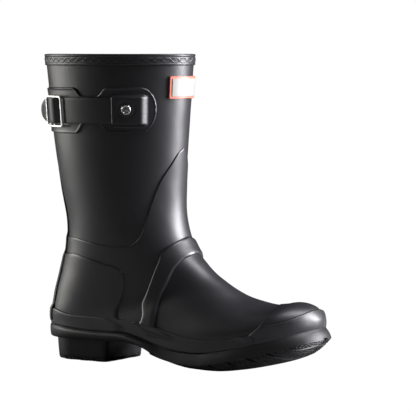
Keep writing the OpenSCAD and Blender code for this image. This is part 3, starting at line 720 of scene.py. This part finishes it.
# Height over the leg by degrees from the buckle's middle bar
STRAP_LIFT = [[-26, 10.4], [-22, 7.6], [-18, 4.4], [-14, 2.6], [-10, 2.8], [-6, 5], [-3, 6.9], [0, 7.5],
              [3, 6.9], [6, 5], [10, 2.8], [14, 2.6], [18, 2.6], [80, 2.6]]
CORNER = 0.7
strap_rubber = rubber("strap_rubber", (0.0072, 0.0066, 0.0078, 1), 0.42)
place = STRAP_END + STRAP_RUN * places(108, 0.9, (0, 0.06, 0.15, 0.3, 0.5, 0.8, 1.2, 1.8))
past = np.maximum(0, (STRAP_END + 8 - place) / END_ROUND)
half = STRAP_HALF * np.sqrt(np.maximum(0.0, 1 - past**2))
section = []
for side_y, side_h, start in ((1, 1, 0), (-1, 1, 90), (-1, -1, 180), (1, -1, 270)):
    for turn in np.radians(np.linspace(start, start + 90, 5)):
        section.append((side_y * (STRAP_HALF - CORNER) + CORNER * math.cos(turn),
                        STRAP / 2 + side_h * (STRAP / 2 - CORNER) + CORNER * math.sin(turn)))
    if start in (0, 180):
        face_side = 1 if start == 0 else -1
        for y in np.linspace(9, -9, 9):
            crown = 0.12 * (1 - (y / 12) ** 2)
            section.append((face_side * y, STRAP / 2 + face_side * (STRAP / 2 + crown)))
section = np.array(section)
tube = leg(BUCKLE_A + place[:, None], STRAP_Z + section[None, :, 0] * half[:, None] / STRAP_HALF,
           curve(STRAP_LIFT, place)[:, None] + section[None, :, 1])
m, n = tube.shape[:2]
faces = grid_faces(m, n, True) + [list(range(n))[::-1], [(m - 1) * n + j for j in range(n)]]
strap = mesh_piece("strap_look", tube.reshape(-1, 3), faces, 50,
                   rub=np.repeat(np.exp(-(place - STRAP_END) / 6.0), n))
wear(strap, strap_rubber)

# ---- keeper cap ----------------------------------------------------------------------------------
# A sleeve moulded with the patch that holds the strap's fixed end. It stands open towards the buckle
# and slopes into the patch on its other three sides, with a dimple where the rivet goes through.
CAP_PLATEAU, CAP_MOUTH, CAP_RUN, RIVET_A, RIVET_Z = 6.4, -71.5, 32, -60.2, 248
MM_AT_CAP = 1.12
a = CAP_MOUTH + CAP_RUN * places(36, 0.55, (0, 0.1, 0.25, 0.5, 0.8, 1.2))[None]
up = 18 * (2 * places(36, 0.6)[:, None] - 1)
z = STRAP_Z - up + 0 * a
over_end = np.clip((-42.5 - a) * MM_AT_CAP / 8.0, 0, 1)
over_side = np.clip((15.6 - np.abs(up)) / 3.4, 0, 1)
soft = (over_end**2 * (3 - 2 * over_end)) * (over_side**2 * (3 - 2 * over_side))
from_mouth = (a - CAP_MOUTH) * MM_AT_CAP
ring = np.hypot((a - RIVET_A) * MM_AT_CAP, z - RIVET_Z)
plateau = (CAP_PLATEAU - PATCH_OUT) * (0.90 + 0.10 * rise(from_mouth + 0.02, 0.9))
dimple = 0.35 * np.exp(-((ring - 7.2) / 0.9) ** 2)
lip = 0.25 * np.exp(-((from_mouth - 1) / 0.7) ** 2)
lift = PATCH_OUT + 0.02 + (plateau - dimple + lip) * soft
hollow = np.where((np.abs(up) < 12.6) & (a < -47), 4.9, PATCH_OUT - 0.1)
grid = leg_disc(a + 0 * z, z)
# Painted highlight: the open edge at the mouth is painted paler.
keeper = shell("strap_cap_look", raised(grid, lift), raised(grid, np.minimum(hollow, lift - 0.02)), sharp=55,
               rub=1.2 * np.exp(-((a - CAP_MOUTH) / 0.8) ** 2) * soft)
wear(keeper, upper_rubber)

# ---- rivet ---------------------------------------------------------------------------------------
# A tubular nickel-plated rivet through keeper, strap and washer, its head rolled to a bright ring
# round a hollow middle.
def on_leg(a, z, h):
    """Frame on the leg with -Y straight out of it and +Z up along it, as the joints are set out."""
    d = leg_disc(np.array(float(a)), np.array(float(z)))
    p, n = skin(d) + h * outward(d), outward(d)
    turn = Matrix.Rotation(math.atan2(n[0], -n[1]), 4, "Z") @ Matrix.Rotation(math.asin(-n[2]), 4, "X")
    return Matrix.Translation(Vector(p)) @ turn


def placed(matrix, points):
    """Points moved by a joint's frame."""
    m = np.array(matrix)
    return np.asarray(points) @ m[:3, :3].T + m[:3, 3]


def metal(name, tint, rough):
    """Plated metal: fine wiping scratches, a few dull spots, and painted shade where the mark is set."""
    made, shader, wire = material(name, 1.0)
    spot, wipe = noise(wire, 240, 4.0), noise(wire, 1500, 2.0)
    hollow_shade = wire.node("Attribute", {"attribute_name": "rub"}, out="Fac")
    plate = spot.blend(tint, tuple(0.86 * c for c in tint[:3]) + (1,))
    # Painted shade: where the mark is set, the plate is painted dark grey and made rougher, for the shade in
    # the rivet head's hollow.
    feed(shader, "Base Color", (hollow_shade * 0.75).blend(plate, (0.12, 0.12, 0.12, 1)))
    feed(shader, "Roughness", spot * 0.16 + wipe * 0.08 + hollow_shade * 0.15 + (rough - 0.12))
    feed(shader, "Normal", bump(0.12, 0.0001, wipe))
    return made


TURNS = 64


def turned(profile):
    """Rings round the rivet's axis from pairs of radius and height over the leg."""
    turn = np.linspace(0, math.tau, TURNS, endpoint=False)
    rings = [[(r * math.cos(t), -h, r * math.sin(t)) for t in turn] for r, h in profile]
    return placed(on_leg(RIVET_A, RIVET_Z, 0), np.array(rings).reshape(-1, 3))


bright_metal = metal("bright_metal", (0.86, 0.85, 0.84, 1), 0.24)
HEAD = [(0, 7.15), (1.2, 7.15), (1.5, 6.9), (2.6, 6.85), (3.1, 6.95), (3.3, 7.4), (3.4, 7.95), (3.6, 8.2),
        (3.9, 8.3), (4.2, 8.25), (4.5, 8.0), (4.65, 7.6), (4.62, 7.2), (4.5, 6.85), (4.2, 6.6), (1.8, 6.5),
        (1.8, 1.7), (0, 1.7)]
HOLLOW_ROWS, HOLLOW_R = 7, 3.35
# Painted shade in the head's hollow middle.
hollow_shade_mask = np.repeat([float(k < HOLLOW_ROWS and r < HOLLOW_R) for k, (r, h) in enumerate(HEAD)], TURNS)
rivet = mesh_piece("strap_rivet_look", turned(HEAD), grid_faces(len(HEAD), TURNS, True), 60, rub=hollow_shade_mask)
wear(rivet, bright_metal)
WASHER = [(1.85, 1.62), (3.5, 1.62), (3.6, 1.75), (3.6, 2.15), (3.5, 2.28), (1.85, 2.28), (1.85, 1.62)]
washer = mesh_piece("rivet_washer_look", turned(WASHER), grid_faces(len(WASHER), TURNS, True), 60)
wear(washer, bright_metal)

# ---- buckle --------------------------------------------------------------------------------------
# A wire frame with round corners and a middle bar, bright nickel. It rocks a little on the middle
# bar inside a rubber loop on the patch.
BUCKLE_Z, BUCKLE_LIFT, BUCKLE_L, BUCKLE_H, WIRE, BEND = 246, 5.4, 28, 31, 1.15, 3.0
WIRE_SIDES = 20


def wire_tube(path, radius, closed, flat=0.92):
    """Rings of points round a path in the buckle's own plane."""
    path = np.array(path, float)
    ahead = np.roll(path, -1, 0) - np.roll(path, 1, 0) if closed else np.gradient(path, axis=0)
    ahead /= np.linalg.norm(ahead, axis=1, keepdims=True)
    out = np.array([0, -1.0, 0])
    side = np.cross(ahead, out)[:, None]
    turn = np.linspace(0, math.tau, WIRE_SIDES, endpoint=False)[None, :, None]
    return path[:, None] + radius * (np.cos(turn) * side + flat * np.sin(turn) * out)


loop = []
wide, tall = BUCKLE_L / 2, BUCKLE_H / 2 - WIRE
straight = np.linspace(1, -1, 12)
for sx, sz, start in ((1, 1, 0), (-1, 1, 90), (-1, -1, 180), (1, -1, 270)):
    for turn in np.radians(np.linspace(start, start + 90, 12)):
        loop.append((sx * (wide - BEND) + BEND * math.cos(turn), 0,
                     sz * (tall - BEND) + BEND * math.sin(turn)))
    if start in (0, 180):
        loop += [(sx * x, 0, sz * tall) for x in (wide - BEND - 1) * straight]
    else:
        loop += [(sx * wide, 0, sz * z) for z in (tall - BEND - 1) * straight]
ring = wire_tube(loop, WIRE, True)
bar = wire_tube([(0, 0, z) for z in np.linspace(-tall, tall, 24)], WIRE, False, flat=1.0)
last, bar_start = (len(ring) - 1) * WIRE_SIDES, len(ring) * WIRE_SIDES
bar_end = bar_start + (len(bar) - 1) * WIRE_SIDES
faces = grid_faces(len(ring), WIRE_SIDES, True) + grid_faces(len(bar), WIRE_SIDES, True, bar_start)
for j in range(WIRE_SIDES):
    k = (j + 1) % WIRE_SIDES
    faces.append([last + j, last + k, k, j])
faces += [[bar_start + j for j in range(WIRE_SIDES)][::-1], [bar_end + j for j in range(WIRE_SIDES)]]
points = np.concatenate([ring.reshape(-1, 3), bar.reshape(-1, 3)])
buckle = mesh_piece("buckle_frame_look", placed(on_leg(BUCKLE_A, BUCKLE_Z, BUCKLE_LIFT), points), faces, 60)
wear(buckle, bright_metal, "buckle")
finish_node("buckle_chape", strap_rubber)

# ---- outsole -------------------------------------------------------------------------------------
# One moulded rubber sole. A rounded lip stands out all round above the heel and the waist, and runs
# on as the sole's side wall along the forefoot and the toe.
WALL_LOW = [[-60, 21.6], [-24, 21.8], [8, 22.8], [34, 22.8], [54, 23.6], [73, 21.6], [88, 17.2], [97, 13.4],
            [103, 11.6], [125, 7.9], [142, 7.4], [163, 10], [188, 15.6], [228, 26.4], [243, 31.2], [262, 37]]
LIP_REACH, TOE_FLARE = 7.5, 5.5
around = len(plan_line)
reach = (plan_line + LIP_REACH * plan_out)[:, 0]
top, low = curve(LIP_TOP, reach), curve(WALL_LOW, reach)
forward = np.clip((reach - 84) / 22, 0, 1)
forward = forward**2 * (3 - 2 * forward)
walls = np.concatenate([np.array([v.co for v in bpy.data.objects[name].data.vertices]) * 1000
                        for name in ("rand_look", "toe_guard_look")])
# How far the strips' wall stands out from the plan, just above the sole
wall_out = np.empty(around)
for k, (p, n) in enumerate(zip(plan_line, plan_out)):
    off = walls[:, :2] - p
    near = (np.abs(off @ [-n[1], n[0]]) < 2.5) & (np.abs(walls[:, 2] - top[k] - 1) < 1.5) & (off @ n > -15)
    wall_out[k] = (off[near] @ n).max() if near.any() else np.nan
known = ~np.isnan(wall_out)
wall_out = np.interp(np.arange(around), np.arange(around)[known], wall_out[known])
for _ in range(30):
    wall_out = 0.25 * np.roll(wall_out, 1) + 0.5 * wall_out + 0.25 * np.roll(wall_out, -1)
flare = LIP_REACH - 1.3 * forward + TOE_FLARE * np.clip((reach - 190) / 52, 0, 1) ** 2
flare = np.maximum(flare, wall_out + 1.0)
# Each pair is a share of the way from the wall to the sole's edge, and a height in tenths of the band
LIP_HEEL = [(-1, 1.3), (-0.2, 1.3), (0.03, 1.0), (0.2, 0.45), (0.5, 0.15), (0.75, -0.3), (0.88, -0.9),
            (0.97, -1.8), (1, -2.8), (0.98, -4.0), (0.92, -5.2), (0.8, -6.5), (0.62, -7.7), (0.42, -8.6),
            (0.2, -9.3), (-0.2, -9.9), (-1.5, -10)]
LIP_FORE = [(-1, 0.9), (-0.4, 0.9), (-0.2, 0.8), (-0.06, 0.5), (0.03, 0.1), (0.1, -0.5), (0.2, -1.2),
            (0.33, -2.0), (0.46, -3.0), (0.6, -4.2), (0.72, -5.4), (0.82, -6.6), (0.9, -7.8), (0.96, -8.9),
            (1, -9.7), (0.8, -10), (-1.5, -10)]
UNDER_WALL = 3.5
tall = (top - low) / 10
rings = []
for (gh, zh), (gf, zf) in zip(LIP_HEEL, LIP_FORE):
    share = gh + (gf - gh) * forward
    g = wall_out + share * (UNDER_WALL if gh < 0 else flare - wall_out)
    drop = (zh + (zf - zh) * forward) * (tall if zh < -1 else 1)
    rings.append(np.concatenate([plan_line + g[:, None] * plan_out, (top + drop)[:, None]], -1))


def capped(name, rings, fill_top, fill_low, rub, sharp=45):
    """A closed body from rings round a plan, with a shaped grid of faces over its first and last ring."""
    rings = np.array(rings)
    m, n = rings.shape[:2]
    points = [rings.reshape(-1, 3)]
    faces = grid_faces(m, n, True)
    count, pairs, steps = m * n, n // 2, 22
    for which, fill in ((0, fill_top), (m - 1, fill_low)):
        row = rings[which]
        inside = []
        for k in range(1, pairs):
            p, q = row[k], row[-k]
            for share in np.arange(1, steps) / steps:
                x, y, z = p + (q - p) * share
                inside.append([x, y, z + fill(x, share)])
        points.append(np.array(inside))

        def at(k, v):
            if v == 0:
                return which * n + k
            return which * n + n - k if v == steps else count + (k - 1) * (steps - 1) + v - 1

        for v in range(steps):
            for k in range(1, pairs - 1):
                faces.append([at(k, v), at(k, v + 1), at(k + 1, v + 1), at(k + 1, v)])
            for k, end in ((1, 0), (pairs - 1, pairs)):
                faces.append([at(k, v), at(k, v + 1), which * n + end])
        count += len(inside)
    points = np.concatenate(points)
    marks = np.zeros(len(points))
    marks[:m * n] = np.repeat(rub, n)
    wear(mesh_piece(name, points, faces, sharp, rub=marks), sole_rubber)


def dished(x, share):
    """A shallow hollow under the foot."""
    return -1.2 * math.sin(math.pi * share)


def waist_ribs(x, share):
    """Cross ribs moulded under the waist."""
    if not 40 < x < 86:
        return 0.0
    shape = max(0.0, math.sin((x - 40) / 46 * math.pi)) ** 0.5 * max(0.0, 1 - (abs(share - 0.5) / 0.36) ** 6)
    return -shape * (0.6 + 0.5 * math.cos(x * math.tau / 6.5))


sole_rubber = rubber("sole_rubber", (0.0056, 0.0054, 0.0060, 1), 0.48, 0.00005, 0.3, ior=1.38)
# The lip's upper outer face is painted paler: a painted highlight, with some rubbing wear.
capped("outsole_look", rings, dished, waist_ribs, 0.7 * np.exp(-((np.arange(len(rings)) - 6) / 2.0) ** 2))

# ---- treads --------------------------------------------------------------------------------------
# Moulded with the sole. Fine diamond knurling for grip, cut by smooth chevron bars and drainage
# grooves that break through the bottom edge.
KNURL, PITCH, BAR_HALF, GROOVE_HALF, GROOVE_DEEP = 1.0, 2.6, 2.6, 0.9, 2.1


def knurling(x, y, gap, bar_pitch, bar_start):
    """Height of the tread's pattern above its floor, in millimetres."""
    u, w = (x + y) / math.sqrt(2) / PITCH % 1, (x - y) / math.sqrt(2) / PITCH % 1
    diamond = 1 - 2 * np.maximum(np.abs(u - 0.5), np.abs(w - 0.5))
    bar = (x - 15 * (1 - np.exp(-gap / 9)) - bar_start) / bar_pitch % 1 * bar_pitch
    off_bar = np.minimum(bar, bar_pitch - bar)
    rough = 1 / (1 + np.exp(-(off_bar - BAR_HALF) / 0.25))
    groove = 1 / (1 + np.exp((off_bar - GROOVE_HALF) / 0.22))
    return KNURL * np.minimum(1, 1.7 * diamond) * rough + KNURL * 1.05 * (1 - rough) - GROOVE_DEEP * groove


def tread(name, lateral, medial, columns, bottom, edge_top, radius, crown, bars):
    """A tread as one dense sheet of rubber: its face is pressed, its edge turns up into the side wall."""
    rim = np.concatenate([lateral, medial[::-1]])
    rim = np.concatenate([rim[:-1] + (rim[1:] - rim[:-1]) * k / 4 for k in range(4)] + [rim[-1:]])
    tree = KDTree(len(rim))
    for k, p in enumerate(rim):
        tree.insert((p[0], p[1], 0), k)
    tree.balance()

    def surface(share):
        grid = lateral[:, None] + (medial - lateral)[:, None] * share[..., None]
        gap = np.array([tree.find((p[0], p[1], 0))[2] for p in grid.reshape(-1, 2)]).reshape(grid.shape[:2])
        x = grid[..., 0]
        base = bottom(x) + crown * (1 - np.clip(gap / 38, 0, 1)) ** 2
        z = base + (edge_top(x) - base) * (1 - rise(gap, radius(x)))
        return np.concatenate([grid, z[..., None]], -1), gap

    even = 0.5 - 0.5 * np.cos(np.linspace(0, math.pi, 260))
    far = run_length(surface(np.tile(even, (len(lateral), 1)))[0], 1)
    share = np.array([np.interp(np.linspace(0, row[-1], columns), row, even) for row in far])
    smooth = surface(share)[0]
    far = run_length(smooth, 1)
    across = np.minimum(far, far[:, -1:] - far)
    n = -np.cross(np.gradient(smooth, axis=0), np.gradient(smooth, axis=1))
    n /= np.maximum(np.linalg.norm(n, axis=-1, keepdims=True), 1e-9)
    n = np.where(n[..., 2:] > 0, -n, n)
    pattern = (knurling(smooth[..., 0], across, across, *bars) - KNURL) * np.clip(across / 1.2, 0, 1)
    face = smooth + pattern[..., None] * n
    back = smooth[:, [0, -1]] + [0, 0, 1.2]
    rows = len(smooth)
    size, end = rows * columns, columns - 1
    faces = grid_faces(rows, columns)
    for i in range(rows - 1):
        a, b, c, d = i * columns, (i + 1) * columns, size + 2 * i, size + 2 * i + 2
        faces += [[a, b, d, c], [b + end, a + end, c + 1, d + 1], [c, d, d + 1, c + 1]]
    tail, low = (rows - 1) * columns, size + 2 * rows
    faces += [list(range(columns)) + [size + 1, size],
              [tail + k for k in range(columns)][::-1] + [low - 2, low - 1]]
    points = np.concatenate([face.reshape(-1, 3), back.reshape(-1, 3)])
    wear(mesh_piece(name, points, faces, 30, rub=np.zeros(low)), sole_rubber)


def two_sides(line):
    """A closed outline as its outer and its inner side, both from the heel's end on."""
    half = len(line) // 2
    return line[:half + 1], np.concatenate([line[:1], line[:half - 1:-1]])[:half + 1]


lateral, medial = two_sides(plan_line + (flare - 0.5)[:, None] * plan_out)
TREAD_LOW = [[88, 18.5], [93, 16], [97, 12.8], [103, 8.8], [108, 6.2], [115, 4.0], [123, 2.2], [136, 0.6],
             [158, 0], [180, 2.4], [200, 6.2], [220, 11.2], [236, 17], [246, 23], [254, 29]]
TREAD_BACK, TREAD_CROWN = 92, 4.4
keep = (lateral[:, 0] > TREAD_BACK) & (medial[:, 0] > TREAD_BACK)
tread("forefoot_tread_look", resampled(lateral[keep], 400), resampled(medial[keep], 400), 220,
      lambda x: curve(TREAD_LOW, x),
      lambda x: curve(WALL_LOW, x - 4 * np.clip((x - 205) / 48, 0, 1) ** 2) + 0.4,
      lambda x: 8 + 8 * np.clip((x - 180) / 50, 0, 1), TREAD_CROWN, (18.5, 122))

# ---- heel ----------------------------------------------------------------------------------------
# A moulded heel block under the lip, set in a little all round and nearly flat in front. Solid rubber
# round the light core, cured to the sole, with its own knurled tread.
HEEL_BACK, HEEL_FRONT, HEEL_HALF, HEEL_R = -37, 33, 31.5, 27
INNER_FURTHER, FRONT_BULGE = 5, 2.5


def heel_side(sign):
    """Half of the heel's plan from the middle of its back to the middle of its front."""
    front, turn = HEEL_FRONT + (INNER_FURTHER if sign > 0 else 0), 8 if sign > 0 else 3
    line = [(HEEL_BACK, 0), (HEEL_BACK, HEEL_HALF - HEEL_R)]
    for t in np.radians(np.linspace(4, 90, 30)):
        line.append((HEEL_BACK + HEEL_R - HEEL_R * math.cos(t), HEEL_HALF - HEEL_R + HEEL_R * math.sin(t)))
    for t in np.radians(np.linspace(0, 90, 10)):
        line.append((front - turn + turn * math.sin(t), HEEL_HALF - turn + turn * math.cos(t)))
    line.append((HEEL_FRONT + FRONT_BULGE, 0))
    return resampled(np.array(line) * [1, sign], 150)


def level(x, share):
    """Neither hollow nor ribs."""
    return 0.0


heel_line, heel_out = closed_plan(heel_side(-1), heel_side(1))
# Distance out from the plan and height of each ring, and how much it is rubbed
HEEL_RINGS = [(-10, 23.6, 0), (-2, 23.6, 0), (0, 23.2, 0), (0.1, 21, 0), (0, 18, 0), (-0.3, 13, 0),
              (-0.7, 8, 0.05), (-1.0, 5, 0.15), (-1.15, 3.6, 0.4), (-1.3, 3.3, 0.5), (-3, 3.2, 0),
              (-9, 3.2, 0)]
rings = [np.concatenate([heel_line + g * heel_out, np.full((len(heel_line), 1), z)], -1)
         for g, z, _ in HEEL_RINGS]
capped("heel_block_look", rings, level, level, [rubbed for _, _, rubbed in HEEL_RINGS])
lateral, medial = two_sides(heel_line - 1.15 * heel_out)
tread("heel_tread_look", resampled(lateral, 190), resampled(medial, 190), 160,
      lambda x: 0 * x, lambda x: 3.6 + 0 * x, lambda x: 1.6, 0.0, (17, -1))

# ---- footbed -------------------------------------------------------------------------------------
# A loose foam footbed, moulded to the floor of the boot, with a knitted cover bonded on top. It lifts
# out at the heel.
BED_FROM, BED_TO, BED_GAP = 7.45, 15.75, 2
FLOOR_HALF = [[BED_FROM, 18], [7.55, 24], [7.7, 29], [8.1, 34], [9, 38], [14.4, 38], [15.3, 34], [15.6, 26],
              [BED_TO, 18]]
floor_s = BED_FROM + (BED_TO - BED_FROM) * places(230, 2.0)[:, None]
floor_a = 180 + (2 * places(66, 1.6)[None] - 1) * (curve(FLOOR_HALF, floor_s) - BED_GAP)
grid = disc(floor_s, floor_a)
gap = free_edges(grid)
foam, shader, wire = material("footbed_foam", Roughness=0.8)
cell = wire.node("TexVoronoi", {}, {"Vector": wire.node("TexCoord", out="Object"), "Scale": 900.0})
feed(shader, "Base Color", noise(wire, 40).blend((0.05, 0.07, 0.12, 1), (0.08, 0.11, 0.17, 1)))
feed(shader, "Roughness", cell * 0.15 + 0.75)
feed(shader, "Normal", bump(0.5, 0.0004, cell))
FOAM_LOW, FOAM_TOP, COVER_TOP = 2.6, 6.6, 7.4
sink = -0.5 * (1 - rise(gap, 2.0))
footbed = shell("footbed_look", raised(grid, LINING_IN - FOAM_LOW + 0 * gap),
                raised(grid, LINING_IN - FOAM_TOP - sink))
wear(footbed, foam, "loose_footbed")
cover_knit = knit("cover_knit", (0.13, 0.14, 0.17, 1), (0.05, 0.055, 0.07, 1), 0.0012)
cover = shell("footbed_cover_look", raised(grid, LINING_IN - FOAM_TOP - 0.02 - sink),
              raised(grid, LINING_IN - COVER_TOP + 0.5 * (1 - rise(gap, 1.0)) - sink))
wear(cover, cover_knit, "loose_footbed")

# ---- studio --------------------------------------------------------------------------------------
# A plain white floor, one tall soft light beside the shin, a second behind the heel, a dim fill in
# front and a soft top light.
FLOOR = 6
floor_mesh = bpy.data.meshes.new("studio_floor")
floor_mesh.from_pydata([(-FLOOR, -FLOOR, 0), (FLOOR, -FLOOR, 0), (FLOOR, FLOOR, 0), (-FLOOR, FLOOR, 0)], [],
                       [(0, 1, 2, 3)])
floor = bpy.data.objects.new("studio_floor", floor_mesh)
bpy.context.scene.collection.objects.link(floor)
floor.location.z = cad_box[0].z - 0.0004
floor_paper = bpy.data.materials.new("floor_paper")
floor_paper.use_nodes = True
wire = Wire(floor_paper.node_tree)
seen = wire.node("LightPath", out="Is Camera Ray")
paper = wire.node("BsdfDiffuse", {}, {"Color": (0.22, 0.22, 0.22, 1)})
glow = wire.node("Emission", {}, {"Color": (1, 1, 1, 1), "Strength": 1.02})
both = wire.node("MixShader", {}, {0: seen, 1: paper, 2: glow})
wire.tree.links.new(both.socket, wire.tree.nodes["Material Output"].inputs["Surface"])
floor_mesh.materials.append(floor_paper)

scene = bpy.context.scene
scene.view_settings.view_transform = "Standard"
scene.world = bpy.data.worlds.new("studio")
scene.world.use_nodes = True
wire = Wire(scene.world.node_tree)
seen = wire.node("LightPath", out="Is Camera Ray")
background = wire.tree.nodes["Background"]
wire.tree.links.new((seen + 0.016).socket, background.inputs["Strength"])
background.inputs["Color"].default_value = (1, 1, 1, 1)
AIM = Vector((0.09, 0, 0.14))


def soft_light(name, azimuth, height, distance, size, power, tint=(1, 1, 1)):
    """A soft box that looks at the boot. Azimuth as in the views: 0 looks along +Y, 90 along -X."""
    lamp = bpy.data.lights.new(name, "AREA")
    lamp.shape, lamp.size, lamp.size_y = "RECTANGLE", *size
    lamp.energy, lamp.color = power, tint
    turn = math.radians(azimuth)
    made = bpy.data.objects.new(name, lamp)
    made.location = (AIM.x + distance * math.sin(turn), AIM.y - distance * math.cos(turn), height)
    made.rotation_euler = (AIM - made.location).to_track_quat("-Z", "Y").to_euler()
    scene.collection.objects.link(made)


soft_light("key_box", 120, 0.6, 1.6, (0.8, 1.1), 112, (0.96, 0.95, 1.0))
soft_light("rim_box", -78, 0.5, 1.6, (0.9, 1.4), 26, (1.0, 0.99, 0.96))
soft_light("front_fill", 10, 0.9, 2.4, (1.6, 1.6), 1.2)
soft_light("top_box", 104, 1.6, 0.9, (0.8, 0.8), 30, (0.95, 0.95, 1.0))

VIEW_AZIMUTH, DOWNWARD = math.radians(31), math.atan(0.07)
camera_data = bpy.data.cameras.new("camera")
camera_data.sensor_width, camera_data.lens = 36, 190.3846
camera_data.clip_start, camera_data.clip_end = 0.05, 50
camera = bpy.data.objects.new("camera", camera_data)
right = Vector((math.cos(VIEW_AZIMUTH), math.sin(VIEW_AZIMUTH), 0))
level_ahead = Vector((-math.sin(VIEW_AZIMUTH), math.cos(VIEW_AZIMUTH), 0))
ahead = level_ahead * math.cos(DOWNWARD) - Vector((0, 0, math.sin(DOWNWARD)))
above = level_ahead * math.sin(DOWNWARD) + Vector((0, 0, math.cos(DOWNWARD)))
facing = Matrix((right, above, -ahead)).transposed().to_4x4()
camera.matrix_world = Matrix.Translation((1.21263, -1.80256, 0.300)) @ facing
scene.collection.objects.link(camera)
scene.camera = camera

bpy.context.view_layer.update()
